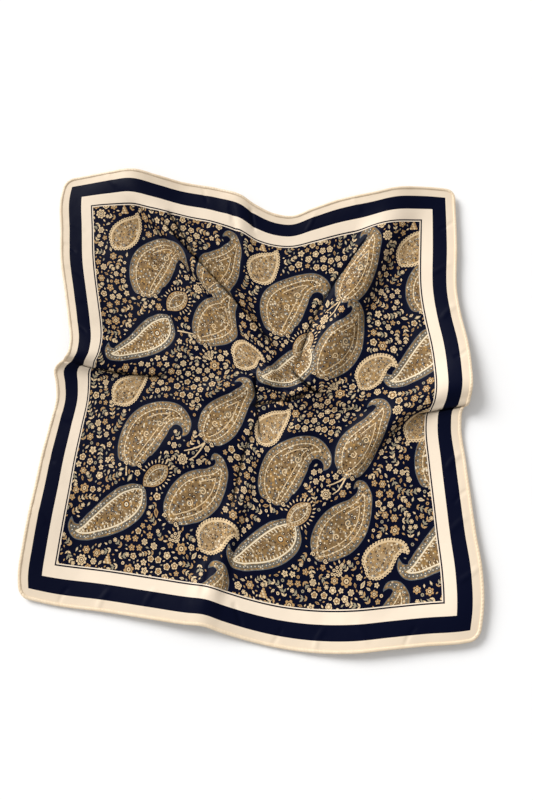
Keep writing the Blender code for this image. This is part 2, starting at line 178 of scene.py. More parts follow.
@dataclass
class ClothForm:
    """The lie of the dropped cloth: four edges, the folds inside, and the fine creases."""

    far_left: Pair = (-250.4, 280.1)
    far_right: Pair = (238.6, 255.1)
    near_right: Pair = (248.6, -266.9)
    near_left: Pair = (-248.4, -239.9)
    rest_depth: float = 3.0
    rest_softness: float = 2.0
    edge_fade: float = 90.0
    edge_broad: float = 24.0
    edge_step: float = 0.5
    gather_reach: float = 4.0
    steepest: float = 0.04
    crest_points: int = 61
    grid_rows: int = 59  # worked out at a time
    shell_lift: float = 0.6  # the printed face lies this far over the solids' underside
    lowest: float = 0.42
    lowest_softness: float = 0.4
    lip: float = 0.55  # where a lip is widest, as a share of its crease's reach
    # shade painted into the print's colour beside the tucked creases: how dark it gets at most, and its
    # sizes
    deepest_shade: float = 0.9
    shade_core: float = 1.1  # a tucked crease's shade: its half width, and what the tuck adds
    shade_growth: float = 0.58
    shade_behind: float = 2.6  # how much wider it is away from the lip
    shade_shares: Pair = (0.72, 0.28)  # of its dark core and its wide rim
    far_edge: Sequence[Station] = table(
        Station,
        (0, 0, 6), (28, 5, 8), (63, 9, 14), (99, 9, 22), (131, 4, 17), (164, -1, 10), (213, -8, 9),
        (247, -18, 12), (267, -27, 7), (301, -38, 2), (317, -39, 1), (348, -29, 4), (380, -19, 8),
        (427, -10, 14), (457, -3, 15), (488, 1, 10), (530, 0, 7),
    )
    right_edge: Sequence[Station] = table(
        Station,
        (0, 0, 7), (74, -1, 8), (136, -4, 9), (167, -1, 12), (198, 4, 15), (228, 6, 18), (256, 5, 20),
        (270, 2, 14), (283, -5, 8), (299, -7, 5), (340, -4, 4), (380, -1, 6), (419, 2, 8), (457, 6, 10),
        (493, 6, 9), (530, 0, 6),
    )
    near_edge: Sequence[Station] = table(
        Station,
        (0, 0, 4), (44, 5, 3), (102, 7, 5), (160, 10, 8), (202, 12, 11), (221, 12, 12), (244, 17, 8),
        (271, 22, 4), (313, 27, 3), (353, 28, 5), (392, 25, 8), (431, 18, 9), (470, 11, 8), (509, 5, 7),
        (530, 0, 6),
    )
    left_edge: Sequence[Station] = table(
        Station,
        (0, 0, 6), (28, 4, 6), (70, 0, 5), (111, -5, 6), (153, -15, 8), (194, -25, 12), (228, -32, 17),
        (240, -31, 18), (254, -22, 13), (268, -13, 7), (282, -15, 4), (298, -17, 2), (334, -12, 1),
        (370, -7, 3), (405, -4, 5), (439, -1, 8), (472, 2, 7), (505, 4, 5), (530, 0, 4),
    )
    folds: Sequence[Fold] = table(
        Fold,
        ("long pleat", (98, 0), (185, 92), (268, 190), (16, 19, 9), 44, 38, 0.35),
        ("pleat's shoulder", (158, 0), (222, 70), (262, 130), (6, 8, 4), 30, 30, 0.0),
        ("right slant", (462, 0), (412, 100), (338, 212), (12, 19, 11), 44, 40, -0.05),
        ("left edge ridge", (0, 238), (95, 243), (195, 232), (17, 12, 3), 46, 34, 0.2),
        ("right edge ridge", (530, 262), (440, 282), (372, 372), (19, 15, 4), 32, 46, -0.4),
        ("near kink", (222, 530), (240, 440), (272, 330), (11, 8, 6), 30, 20, 0.3),
        ("far notch", (248, 0), (258, 60), (268, 110), (11, 7, 0), 22, 18, 0.0),
        ("middle crumple", (272, 222), (303, 242), (332, 262), (7, 11, 4), 26, 22, 0.2),
        ("middle to left", (268, 228), (215, 262), (150, 280), (8, 8, 2), 30, 26, 0.0),
        ("middle to right", (322, 222), (378, 250), (440, 248), (8, 8, 3), 28, 32, 0.0),
        ("low swell, left", (90, 400), (150, 352), (228, 330), (4, 8, 8), 52, 44, 0.0),
        ("low swell, right", (318, 300), (345, 390), (400, 470), (9, 8, 5), 44, 50, 0.0),
        ("low swell, far left", (40, 60), (110, 130), (150, 190), (5, 8, 4), 44, 48, 0.0),
    )
    creases: Sequence[Crease] = table(
        Crease,
        ((150, 40), (168, 60), (194, 94), -3.0, 5, 1.5),
        ((142, 48), (212, 115), (304, 186), -7.0, 5, 4.4), ((164, 56), (228, 110), (286, 158), 2.6, 9),
        ((196, 118), (240, 152), (276, 186), 2.0, 8), ((436, 46), (362, 112), (312, 214), -3.0, 5, -2.6),
        ((436, 70), (376, 122), (340, 196), 1.2, 7), ((10, 252), (76, 261), (148, 256), -5.0, 5, -3.2),
        ((-8, 250), (22, 252), (66, 256), -3.0, 5), ((229, 228), (254, 236), (286, 254), -2.2, 5),
        ((248, 226), (264, 268), (278, 310), -4.0, 5, -2.8),
        ((250, 276), (290, 259), (336, 236), -5.0, 7, 2.6),
        ((306, 196), (326, 222), (352, 246), -6.0, 7, -3.0), ((228, 176), (262, 204), (300, 222), 2.4, 9),
        ((296, 250), (322, 236), (340, 212), 2.6, 8), ((340, 262), (356, 300), (352, 352), -2.2, 8),
        ((280, 300), (300, 330), (302, 372), 1.6, 9), ((326, 206), (332, 222), (342, 240), -2.0, 5),
        ((266, 128), (270, 150), (284, 178), -1.8, 6), ((270, 280), (252, 345), (242, 404), -4.0, 6, 2.6),
        ((254, 494), (261, 505), (268, 520), -1.2, 5), ((262, 6), (267, 20), (272, 36), -1.8, 5),
        ((538, 274), (510, 279), (466, 285), -3.6, 5, 2.4), ((150, 40), (206, 118), (262, 186), 1.1, 9),
        ((425, 70), (378, 130), (346, 190), -1.2, 8), ((256, 200), (282, 226), (318, 232), -2.0, 7),
        ((290, 232), (318, 262), (322, 300), 1.4, 8), ((262, 240), (258, 300), (240, 372), -1.8, 8),
        ((284, 262), (286, 330), (262, 400), 1.0, 9), ((240, 400), (226, 452), (214, 512), -1.7, 7),
        ((330, 250), (386, 268), (452, 262), -1.2, 9), ((420, 300), (386, 334), (362, 392), -2.0, 8),
        ((356, 282), (352, 340), (332, 396), 1.1, 9), ((60, 262), (128, 268), (214, 258), -1.9, 8),
        ((110, 300), (170, 300), (232, 286), 0.8, 10), ((300, 440), (330, 470), (352, 512), 0.7, 11),
        ((420, 420), (452, 452), (486, 470), 0.8, 12), ((60, 430), (112, 452), (170, 470), 0.6, 12),
        ((230, 10), (243, 44), (252, 84), -1.5, 6), ((470, 120), (476, 170), (468, 226), 0.7, 11),
        ((62, 90), (70, 150), (62, 204), 0.6, 11), ((4, 60), (20, 66), (34, 76), 0.5, 5),
        ((4, 120), (18, 128), (30, 140), -0.5, 5), ((150, 524), (156, 508), (166, 496), 0.5, 5),
        ((410, 526), (400, 510), (392, 494), 0.6, 6), ((526, 400), (512, 408), (498, 420), 0.5, 5),
        ((526, 96), (512, 104), (498, 112), 0.5, 5), ((352, 4), (346, 18), (336, 30), 0.5, 5),
        ((0, 88), (12, 94), (22, 104), -0.7, 4), ((0, 158), (10, 166), (26, 170), 0.6, 5),
        ((0, 196), (14, 204), (24, 216), -0.6, 4), ((0, 318), (12, 322), (30, 330), 0.7, 5),
        ((0, 366), (10, 374), (22, 378), -0.6, 4), ((0, 430), (14, 438), (24, 450), 0.6, 5),
        ((530, 40), (518, 50), (506, 56), -0.6, 4), ((530, 150), (516, 158), (504, 170), 0.7, 5),
        ((530, 206), (520, 214), (508, 216), -0.6, 4), ((530, 330), (514, 340), (506, 352), 0.8, 5),
        ((530, 372), (518, 378), (508, 388), -0.6, 4), ((530, 452), (516, 462), (502, 468), 0.6, 5),
        ((48, 530), (54, 516), (62, 508), -0.6, 4), ((96, 530), (100, 518), (112, 504), 0.7, 5),
        ((300, 530), (308, 518), (312, 506), -0.6, 4), ((350, 530), (352, 516), (362, 502), 0.6, 5),
        ((448, 530), (452, 518), (462, 508), -0.6, 4), ((60, 0), (66, 12), (78, 22), 0.6, 5),
        ((190, 0), (196, 10), (202, 24), -0.6, 4), ((400, 0), (404, 12), (414, 22), 0.6, 5),
    )

    def __post_init__(self) -> None:
        """Works out the form once, on a fine grid that everything else is read from."""
        self.far = self._edge_curve(self.far_edge, self.far_left, self.far_right, -1)
        self.near = self._edge_curve(self.near_edge, self.near_left, self.near_right, 1)
        self.left = self._edge_curve(self.left_edge, self.far_left, self.near_left, 1)
        self.right = self._edge_curve(self.right_edge, self.far_right, self.near_right, -1)
        steps = np.arange(0.0, CUT + 0.5, 1.0)
        across, down = np.meshgrid(steps, steps)
        parts = [slice(i, i + self.grid_rows) for i in range(0, len(steps), self.grid_rows)]
        self.grid = np.concatenate([self._face(across[part], down[part]) for part in parts])
        slope_down, slope_across = np.gradient(self.grid, axis=(0, 1))
        self.normals = unit(np.cross(slope_across, -slope_down))

    @staticmethod
    def smooth_through(run: Array, values: Array, at: Array) -> Array:
        """A smooth curve through (run, values), read at each of at.

        Args:
            run: runs along the curve, in order.
            values: its values there.
            at: where it is read.

        Returns:
            The curve's values there.
        """
        slopes = np.gradient(values, run)
        i = np.clip(np.searchsorted(run, at, side="right") - 1, 0, len(run) - 2)
        step = run[i + 1] - run[i]
        t = (at - run[i]) / step
        return (
            (2 * t**3 - 3 * t**2 + 1) * values[i]
            + (t**3 - 2 * t**2 + t) * step * slopes[i]
            + (3 * t**2 - 2 * t**3) * values[i + 1]
            + (t**3 - t**2) * step * slopes[i + 1]
        )

    def _broadened(self, values: Array) -> Array:
        """A curve that starts and ends at 0, without its short waves.

        Args:
            values: the curve's values, one for each edge_step.

        Returns:
            The broad part of the curve.
        """
        half = int(3 * self.edge_broad / self.edge_step)
        kernel = np.exp(-0.5 * (np.arange(-half, half + 1) * self.edge_step / self.edge_broad) ** 2)
        mirrored = np.concatenate([-values[half:0:-1], values, -values[-2 : -half - 2 : -1]])
        return np.convolve(mirrored, kernel / kernel.sum(), mode="valid")

    def _edge_curve(
        self, rows: Sequence[Station], start: Pair, end: Pair, outward: int
    ) -> Callable[[Array], tuple[Array, Array, Array]]:
        """How one edge lies.

        Args:
            rows: the edge's stations.
            start: the corner it starts from, in plan.
            end: the corner it ends at.
            outward: 1 or -1, the side of the chord that is outside the cloth.

        Returns:
            A function from a run along the edge to its plan, what its short waves add to that,
            and its height.
        """
        run, out, up = (np.array(column, float) for column in zip(*rows))
        fine = np.arange(0.0, CUT + self.edge_step / 2, self.edge_step)
        offset, height = (self.smooth_through(run, values, fine) for values in (out, up))
        spare = self.edge_step**2 - np.diff(offset) ** 2 - np.diff(height) ** 2
        forward = np.sqrt(np.maximum(spare, self.steepest * self.edge_step**2))
        uneven = np.concatenate([[0.0], np.cumsum(forward)]) / forward.sum() - fine / CUT
        origin, chord = np.array(start), np.array(end) - np.array(start)
        normal = np.array([chord[1], -chord[0]]) / np.linalg.norm(chord) * outward
        away = uneven[:, None] * chord + offset[:, None] * normal
        broad = self._broadened(uneven)[:, None] * chord
        broad = broad + self._broadened(offset)[:, None] * normal

        def read(curve: Array, distance: Array) -> Array:
            """A plan curve's places at these runs."""
            return np.stack([np.interp(distance, fine, column) for column in curve.T], -1)

        def at(distance: Array) -> tuple[Array, Array, Array]:
            """The edge at these runs."""
            plan = origin + (distance / CUT)[..., None] * chord + read(broad, distance)
            return plan, read(away - broad, distance), np.interp(distance, fine, height)

        return at

    def _between_edges(self, across: Array, down: Array) -> tuple[Array, Array, Array]:
        """The form that the edges give, as plan, height and how far it counts at each point.

        Args:
            across: the points' places on the flat cloth.
            down: the same, towards the near edge.

        Returns:
            The points' places in plan, their heights, and how far the edges count there.
        """
        far, far_waves, far_up = self.far(across)
        near, near_waves, near_up = self.near(across)
        left, left_waves, left_up = self.left(down)
        right, right_waves, right_up = self.right(down)
        u, v = (across / CUT)[..., None], (down / CUT)[..., None]
        corners = (
            (1 - u) * (1 - v) * np.array(self.far_left) + u * (1 - v) * np.array(self.far_right)
            + u * v * np.array(self.near_right) + (1 - u) * v * np.array(self.near_left)
        )
        plan = (1 - v) * far + v * near + (1 - u) * left + u * right - corners
        to_left, to_right, to_far, to_near = (
            1 - smooth_step(distance / self.edge_fade)
            for distance in (across, CUT - across, down, CUT - down)
        )
        for fade, waves in (
            (to_left, left_waves), (to_right, right_waves), (to_far, far_waves), (to_near, near_waves)
        ):
            plan = plan + fade[..., None] * waves
        height = (
            to_far * far_up + to_near * near_up + to_left * left_up + to_right * right_up
            - to_left * to_far * self.far_edge[0].up - to_right * to_far * self.far_edge[-1].up
            - to_right * to_near * self.near_edge[-1].up - to_left * to_near * self.near_edge[0].up
        )
        share = 1 - (1 - to_left) * (1 - to_right) * (1 - to_far) * (1 - to_near)
        return plan, height, share

    @staticmethod
    def through_three(t: Array, first: float, middle: float, last: float) -> Array:
        """The quadratic that takes these values at t = 0, 0.5 and 1."""
        return first * (1 - t) * (1 - 2 * t) + 4 * middle * t * (1 - t) + last * t * (2 * t - 1)

    def _from_crest(self, row: Fold | Crease, across: Array, down: Array) -> tuple[Array, Array, Array]:
        """Where points lie beside a crest.

        Args:
            row: the fold or crease.
            across: the points' places on the flat cloth.
            down: the same, towards the near edge.

        Returns:
            The share of the crest's run nearest each point, the vector from there to the point,
            and the unit vector to the walker's right hand there.
        """
        t = np.linspace(0.0, 1.0, self.crest_points)
        ends = zip(row.start, row.middle, row.end)
        crest = np.stack([self.through_three(t, *axis) for axis in ends], -1)
        speed = np.gradient(crest, t, axis=0)
        points = np.stack([across, down], -1)
        squared = sum((points[..., k, None] - crest[:, k]) ** 2 for k in (0, 1))
        nearest = np.argmin(squared, axis=-1)
        away = points - crest[nearest]
        here = unit(speed)[nearest]
        along = (away * here).sum(-1)
        along = np.where(nearest == 0, np.maximum(along, 0.0), along)
        along = np.where(nearest == self.crest_points - 1, np.minimum(along, 0.0), along)
        away = away - along[..., None] * here
        return t[nearest] + along / np.linalg.norm(speed, axis=1)[nearest], away, right_of(here)

    def _plan_reach(self, reach: Array, steepness: Array) -> Array:
        """How far from the crest, seen from above, cloth lies that is reach from it along it.

        Args:
            reach: distances from the crest along the cloth, as shares of the fold's width.
            steepness: the crest's height over the fold's width.

        Returns:
            The distances seen from above, as shares of the fold's width.
        """
        nodes, weights = np.polynomial.legendre.leggauss(8)
        inside = np.minimum(reach, 1.0)
        total = np.zeros_like(reach)
        for node, weight in zip(nodes, weights):
            at = inside * (1 + node) / 2
            slope = steepness * 4 * at * (1 - at**2)
            total += weight / 2 * inside * np.sqrt(np.maximum(1 - slope**2, self.steepest))
        return total + reach - inside

    def _fold_form(self, fold: Fold, across: Array, down: Array) -> tuple[Array, Array]:
        """The shift across and down, and the height, that a fold gives each point.

        Args:
            fold: the fold.
            across: the points' places on the flat cloth.
            down: the same, towards the near edge.

        Returns:
            The shift across and down, and the height.
        """
        t, away, right_hand = self._from_crest(fold, across, down)
        distance = np.linalg.norm(away, axis=-1)
        outward = away / np.maximum(distance, 1e-6)[..., None]
        handed = (outward * right_hand).sum(-1)
        width = (fold.left + fold.right) / 2 + handed * (fold.right - fold.left) / 2
        reach = distance / width
        crest_height = np.maximum(self.through_three(t, *fold.heights), 0.0)
        height = crest_height * np.maximum(1 - reach**2, 0.0) ** 2
        drawn_in = (reach - self._plan_reach(reach, crest_height / width)) * width
        drawn_in *= 1 - smooth_step((reach - 1) / (self.gather_reach - 1))
        shift = (fold.lean * height)[..., None] * right_hand - drawn_in[..., None] * outward
        return shift, height

    def _beside(self, crease: Crease, across: Array, down: Array, taper: float) -> tuple[Array, ...]:
        """How far points lie from a crease, and towards its lip, its fade there and its right hand.

        Args:
            crease: the crease.
            across: the points' places on the flat cloth.
            down: the same, towards the near edge.
            taper: how soon the crease fades in and out at its ends.

        Returns:
            The distances, how far each lies towards the lip, the crease's fade and its right hand.
        """
        t, away, right_hand = self._from_crest(crease, across, down)
        handed = (away * right_hand).sum(-1) * math.copysign(1.0, crease.tuck)
        fade = smooth_step(taper * t) * smooth_step(taper * (1 - t))
        return np.linalg.norm(away, axis=-1), handed, fade, right_hand

    def _crease_form(self, crease: Crease, across: Array, down: Array) -> tuple[Array, Array]:
        """The shift across and down, and the height, that a fine crease adds.

        Args:
            crease: the crease.
            across: the points' places on the flat cloth.
            down: the same, towards the near edge.

        Returns:
            The shift across and down, and the height.
        """
        ends = np.array([crease.start, crease.middle, crease.end])
        wide = crease.reach + 2 * abs(crease.tuck)
        low, high = ends.min(axis=0) - wide, ends.max(axis=0) + wide
        near = (across > low[0]) & (across < high[0]) & (down > low[1]) & (down < high[1])
        shift, height = np.zeros((*across.shape, 2)), np.zeros(across.shape)
        if near.any():
            distance, handed, fade, right_hand = self._beside(crease, across[near], down[near], 4)
            height[near] = crease.height * fade * np.maximum(1 - (distance / crease.reach) ** 2, 0.0) ** 2
            top = self.lip * crease.reach
            lip = smooth_step(handed / top) * (1 - smooth_step((handed - top) / (wide - top)))
            shift[near] = -(crease.tuck * fade * lip)[..., None] * right_hand
        return shift, height

    def _face(self, across: Array, down: Array) -> Array:
        """The place of the printed face, in millimetres, for points of the flat cloth.

        Args:
            across: the points' places on the flat cloth.
            down: the same, towards the near edge.

        Returns:
            The places, in millimetres.
        """
        plan, height, share = self._between_edges(across, down)
        inner_height = np.full(across.shape, -self.rest_depth)
        for fold in self.folds:
            shift, lift = self._fold_form(fold, across, down)
            plan[..., 0] += (1 - share) * shift[..., 0]
            plan[..., 1] -= (1 - share) * shift[..., 1]
            inner_height += lift
        height = height + (1 - share) * inner_height
        soft = (height + self.rest_softness) ** 2 / (4 * self.rest_softness)
        low = np.where(height > -self.rest_softness, soft, 0.0)
        height = np.where(height > self.rest_softness, height, low) + self.shell_lift
        for crease in self.creases:
            shift, lift = self._crease_form(crease, across, down)
            plan = plan + shift * np.array([1.0, -1.0])
            height = height + lift
        softness = self.lowest_softness
        over = height - self.lowest - softness
        rise = np.where(over > 0, 1 + over / softness, np.exp(np.minimum(over, 0) / softness))
        return np.concatenate([plan, (self.lowest + softness * rise)[..., None]], -1)

    @staticmethod
    def _read(grid: Array, across: Array, down: Array) -> Array:
        """A grid's values between its points.

        Args:
            grid: the grid's values.
            across: the points' places on the flat cloth.
            down: the same, towards the near edge.

        Returns:
            The values there.
        """
        column, row = (np.clip(np.floor(at).astype(int), 0, int(CUT) - 1) for at in (across, down))
        u, v = (across - column)[..., None], (down - row)[..., None]
        upper = grid[row, column] * (1 - u) + grid[row, column + 1] * u
        lower = grid[row + 1, column] * (1 - u) + grid[row + 1, column + 1] * u
        return upper * (1 - v) + lower * v

    def place(self, across: Array, down: Array) -> tuple[Array, Array]:
        """Where the printed face lies.

        Args:
            across: places on the flat cloth, in millimetres.
            down: the same, towards the near edge.

        Returns:
            The points, in millimetres, and the cloth's unit normals there.
        """
        return self._read(self.grid, across, down), unit(self._read(self.normals, across, down))

    def painted_shade_share(self, across: Array, down: Array) -> Array:
        """The shade painted into the print's colour beside the tucked creases, as the share of colour kept:
        1 away from them.

        Args:
            across: the points' places on the flat cloth.
            down: the same, towards the near edge.

        Returns:
            The shares of colour that the painted shade keeps.
        """
        left = np.ones(across.shape)
        for crease in self.creases:
            if crease.tuck:
                distance, handed, fade, _ = self._beside(crease, across, down, 6)
                core = self.shade_core + self.shade_growth * abs(crease.tuck)
                wide = np.where(handed < 0, self.shade_behind, 1.0) * core
                dark = sum(
                    share * np.exp(-((distance / width) ** 2))
                    for share, width in zip(self.shade_shares, (core, wide))
                )
                # painted shade: this darkens the print's colour near the crease
                left *= 1 - self.deepest_shade * fade * dark
        return left


# ---------------------------------------------------------------- the print


class Ink(Enum):
    """The print's inks, as (red, green, blue) on a screen, and 1 where fine speckle fills them."""

    CREAM = (243, 226, 204, 0)
    EDGE_CREAM = (236, 218, 194, 0)
    NAVY = (4, 8, 31, 0)
    LINE = (8, 10, 30, 0)
    MILK = (238, 220, 188, 0)
    PALE = (224, 196, 154, 0)
    TAN = (184, 147, 100, 0)
    GOLD = (164, 122, 68, 0)
    BROWN = (98, 74, 52, 0)
    UMBER = (40, 33, 36, 0)
    GREY = (158, 147, 122, 0)
    SLATE = (96, 100, 102, 0)
    GOLD_SPECKLE = (135, 107, 70, 1)
    GREY_SPECKLE = (120, 104, 80, 1)
    PALE_SPECKLE = (168, 138, 98, 1)

    def linear(self) -> tuple[float, float, float, float]:
        """The ink in linear values, and 0 in place of alpha where speckle fills it."""
        red, green, blue, speckled = self.value
        return (*linear(red, green, blue), 1.0 - speckled)


class Shape(NamedTuple):
    """A closed shape of one ink on the flat cloth."""

    points: Array
    ink: Ink


def ring(x: float, y: float, radius: float, count: int, turn: float = 0.0) -> Array:
    """A regular polygon."""
    return polar(x, y, radius, turn + np.arange(count) * 2 * math.pi / count)


def scalloped(x: float, y: float, radius: float, petals: int, depth: float, turn: float) -> Array:
    """A disc with a scalloped edge: three points for each petal.

    Args:
        x: how far across the cloth it is drawn.
        y: how far down the cloth it is drawn.
        radius: its radius, in millimetres.
        petals: how many petals it has.
        depth: how deep its scallops are, as a share of the radius.
        turn: the direction it points in, in radians.

    Returns:
        The outline's points.
    """
    points = np.arange(3 * petals)
    reach = radius * np.where(points % 3 == 0, 1 - depth, 1.0)
    return polar(x, y, reach, turn + points * 2 * math.pi / (3 * petals))


def leaf(x: float, y: float, turn: float, length: float, width: float) -> Array:
    """A pointed leaf that starts at (x, y).

    Args:
        x: how far across the cloth it starts.
        y: how far down the cloth it starts.
        turn: the direction it points in, in radians.
        length: its length.
        width: its width.

    Returns:
        The outline's points.
    """
    run = np.array([0.0, 0.34, 0.72, 1.0, 0.45]) * length
    side = np.array([0.0, 0.48, 0.34, 0.0, -0.46]) * width
    cos, sin = math.cos(turn), math.sin(turn)
    return np.stack([x + run * cos - side * sin, y + run * sin + side * cos], -1)


def ribbon(line: Array, widths: Array | float) -> Array:
    """A strip along a line.

    Args:
        line: the line's points.
        widths: the strip's width, or its widths along the line.

    Returns:
        The outline's points.
    """
    way = np.gradient(line, axis=0)
    way /= np.maximum(np.linalg.norm(way, axis=1), 1e-9)[:, None]
    side = right_of(way) * np.broadcast_to(widths, len(line))[:, None] / 2
    return np.concatenate([line + side, (line - side)[::-1]])


def resampled(loop: Array, spacing: float) -> Array:
    """A closed loop with points this far apart.

    Args:
        loop: the closed loop's points.
        spacing: distance between points.

    Returns:
        The loop's new points.
    """
    closed = np.concatenate([loop, loop[:1]])
    run = np.concatenate([[0], np.cumsum(np.linalg.norm(np.diff(closed, axis=0), axis=1))])
    count = max(6, int(run[-1] / spacing))
    at = np.arange(count) * run[-1] / count
    return np.stack([np.interp(at, run, closed[:, k]) for k in (0, 1)], -1)


class Style(Enum):
    """How a boteh is filled."""

    GRAND = "banded"
    SEAWEED = "double contour with spurs"
    LACE = "scalloped edge"
    BUD = "bud with lashes"


class Rib(NamedTuple):
    """A boteh's spine: a place beside its anchor, and the half width there."""

    x: float
    y: float
    half: float


@dataclass
class Boteh:
    """One kind of boteh: its anchor in the repeat, its style and its spine.

    laid holds its places on this scarf: down the rows of the repeat, across its columns.
    """

    name: str
    x: float
    y: float
    style: Style
    ribs: Sequence[Rib]
    laid: Sequence[Sequence[Pair]]
    spiral: Pair = (0.0, 0.0)

    def outline(self, place: Pair, inset: float = 0.0, spacing: float = 3.4) -> Array:
        """The boteh's outline, or a contour inside it.

        Args:
            place: where its middle lies on the flat cloth.
            inset: how far inside the outline, in millimetres.
            spacing: distance between points.

        Returns:
            The contour's points, from the base up the left side and back down the right one.
        """
        ribs = np.array(self.ribs, float)
        run = np.concatenate([[0], np.cumsum(np.linalg.norm(np.diff(ribs[:, :2], axis=0), axis=1))])
        fine = np.linspace(0, run[-1], 160)
        x, y, half = (ClothForm.smooth_through(run, ribs[:, k], fine) for k in (0, 1, 2))
        half = half - inset
        kept = half > 0.15
        if kept.sum() < 8:
            return np.empty((0, 2))
        line = np.stack([x, y], -1)
        first, last = np.flatnonzero(kept)[[0, -1]]
        line, way, half = (
            values[first : last + 1] for values in (line, unit(np.gradient(line, axis=0)), half)
        )
        side = right_of(way) * np.maximum(half, 0.1)[:, None]
        loop = np.concatenate([line + side, (line - side)[::-1]])
        return resampled(loop + np.array(place), spacing)


class Kind(Enum):
    """The small motifs between the botehs, with their letters in the chart."""

    ROSETTE = "T"
    ROSE = "R"
    FLOWER = "F"
    DAISY = "Y"
    COMB = "C"
    CONE = "K"
    LEAF = "L"
    DOT = "D"


class Motif(NamedTuple):
    """A small motif at its place in the repeat."""

    kind: Kind
    x: float
    y: float
    radius: float
    turn: float = 0.0


@dataclass
class PrintDesign:
    """The field's pattern: botehs and larger flowers charted, and small ones packed between."""

    width: float = 186.0  # the chart's repeat
    height: float = 211.0
    cell: float = 0.8
    gap: float = 1.0
    halo: float = 3.2  # plain ground round a boteh
    bud_halo: float = 5.5
    reach: float = 8.0  # how far round a motif the room is brought up to date
    pull: float = 45.0  # how far round a boteh the chart moves with it
    heart_tries: int = 900
    seed: int = 7
    botehs: Sequence[Boteh] = (
        Boteh("fat boteh", 142, 123, Style.GRAND, table(
            Rib,
            (-22, 41, 2), (-22, 36, 14), (-23, 27, 21.5), (-21, 15, 25.5), (-14, 0, 27), (-3, -13, 24),
            (10, -23, 18), (23, -26, 13.5), (33, -22, 9.6), (39, -14, 6.6), (39, -6, 3.8), (35, -1, 0.5),
        ), (((134, 119), (321, 121), (515, 119)), ((140, 331), (324, 338), (517, 330))), (4, -13)),
        Boteh("tall boteh", 223, 78, Style.GRAND, table(
            Rib,
            (-20, 43, 3), (-17, 38, 14), (-11, 28, 22), (-3, 14, 25.5), (8, -2, 22), (17, -18, 15),
            (22, -33, 10.5), (19, -42, 6), (10, -44, 3.6), (3, -38, 0.4),
        ), (((222, 95), (403, 91)), ((224, 288), (403, 302)), ((216, 506), (419, 509))), (6, 4)),
        Boteh("wide boteh", 201, 171, Style.GRAND, table(
            Rib,
            (-31, 39, 3), (-27, 33, 13), (-18, 22, 22), (-3, 8, 27), (12, -5, 24), (23, -18, 15.5),
            (28, -30, 9.8), (26, -39, 5.6), (20, -42, 3.6), (15, -36, 0.4),
        ), (((204, 168), (374, 179)), ((199, 387), (380, 396))), (8, 0)),
        Boteh("long boteh", 95, 213, Style.SEAWEED, table(
            Rib,
            (41, -32, 4), (36, -26, 13.5), (29, -17, 20), (17, -6, 22), (1, 6, 20), (-13, 15, 16),
            (-25, 22, 12), (-34, 24, 8.6), (-41, 19, 4.8), (-43, 9, 0.4),
        ), (((96, 213), (297, 207), (469, 208)), ((94, 425), (285, 427), (485, 429))), (22, -11)),
        Boteh("lace leaf, up", 103, 82, Style.LACE, table(
            Rib,
            (-15, 19, 3), (-11, 14, 12), (-3, 4, 17.5), (5, -6, 15), (12, -14, 10), (16, -20, 5),
            (18, -27, 0.6),
        ), (((85, 80), (284, 76), (480, 77)), ((95, 284), (289, 292), (482, 296)))),
        Boteh("lace leaf, right", 236, 220, Style.LACE, table(
            Rib,
            (-20, 16, 3), (-16, 12, 11), (-9, 2, 17), (0, -6, 15), (11, -11, 10), (20, -11, 5.5),
            (27, -4, 0.6),
        ), (((243, 208), (416, 220)), ((229, 433), (427, 438)))),
        Boteh("bud", 149, 168, Style.BUD, table(
            Rib,
            (-14, 12, 0.6), (-9, 7, 7), (-2, 1, 10.5), (6, -6, 9.5), (11, -11, 5), (13, -14, 0.6),
        ), (((149, 161), (327, 171)), ((148, 379), (329, 387)))),
    )
    charted: Sequence[Motif] = tuple(Motif(Kind(letter), *place) for letter, *place in (
        ("T", 72, 56, 6.2), ("Y", 89, 47, 4.6), ("T", 71, 77, 4.0), ("T", 70, 95, 3.6),
        ("Y", 130, 59, 6.0), ("R", 139, 75, 3.6), ("F", 151, 56, 4.2), ("K", 103, 52, 5.5),
        ("R", 66, 38, 5.6), ("T", 157, 30, 4.0), ("R", 156, 43, 3.7), ("R", 166, 42, 3.8),
        ("R", 176, 36, 4.1), ("R", 160, 62, 4.3), ("R", 169, 53, 4.0), ("R", 178, 47, 3.9),
        ("R", 187, 45, 3.9), ("R", 178, 58, 4.2), ("R", 187, 60, 4.0), ("R", 169, 71, 4.0),
        ("R", 178, 70, 4.0), ("R", 187, 73, 3.6), ("C", 189, 23, 14.5, -2.25), ("Y", 192, 27, 6.6),
        ("T", 69, 124, 4.0), ("Y", 61, 138, 4.3), ("F", 66, 150, 4.6), ("R", 54, 157, 4.0),
        ("R", 64, 161, 3.8), ("Y", 57, 171, 4.0), ("T", 81, 134, 3.2), ("R", 86, 143, 3.2),
        ("F", 79, 166, 3.2), ("T", 81, 190, 2.6), ("Y", 52, 193, 4.2), ("F", 54, 200, 4.6),
        ("T", 113, 174, 2.6), ("T", 169, 131, 3.6), ("T", 174, 119, 2.8), ("T", 181, 143, 6.4),
        ("T", 205, 148, 3.0), ("T", 194, 155, 3.6), ("T", 146, 203, 2.8), ("F", 150, 231, 3.8),
        ("T", 122, 229, 2.6), ("Y", 107, 242, 4.6), ("F", 124, 238, 3.8), ("F", 133, 237, 3.6),
        ("F", 130, 247, 3.8), ("F", 139, 246, 3.6), ("Y", 248, 190, 5.6), ("L", 92, 164, 4.2, 0.3),
        ("L", 106, 166, 4.2, -0.3), ("L", 118, 174, 5.2, 0.0), ("L", 148, 184, 5.4, 1.5),
        ("L", 155, 206, 5.6, 1.4), ("L", 185, 122, 5.4, -1.4), ("L", 200, 24, 4.8, -0.7),
        ("L", 208, 32, 4.8, -1.0), ("L", 162, 206, 4.6, 0.9),
    ))
    stalks: Sequence[Sequence[Pair]] = (
        ((206, 121), (198, 127), (190, 131), (182, 134)),
        ((206, 121), (201, 130), (196, 137), (189, 142)),
        ((113, 172), (112, 164), (111, 157)),
        ((146, 201), (157, 202), (168, 203)),
    )

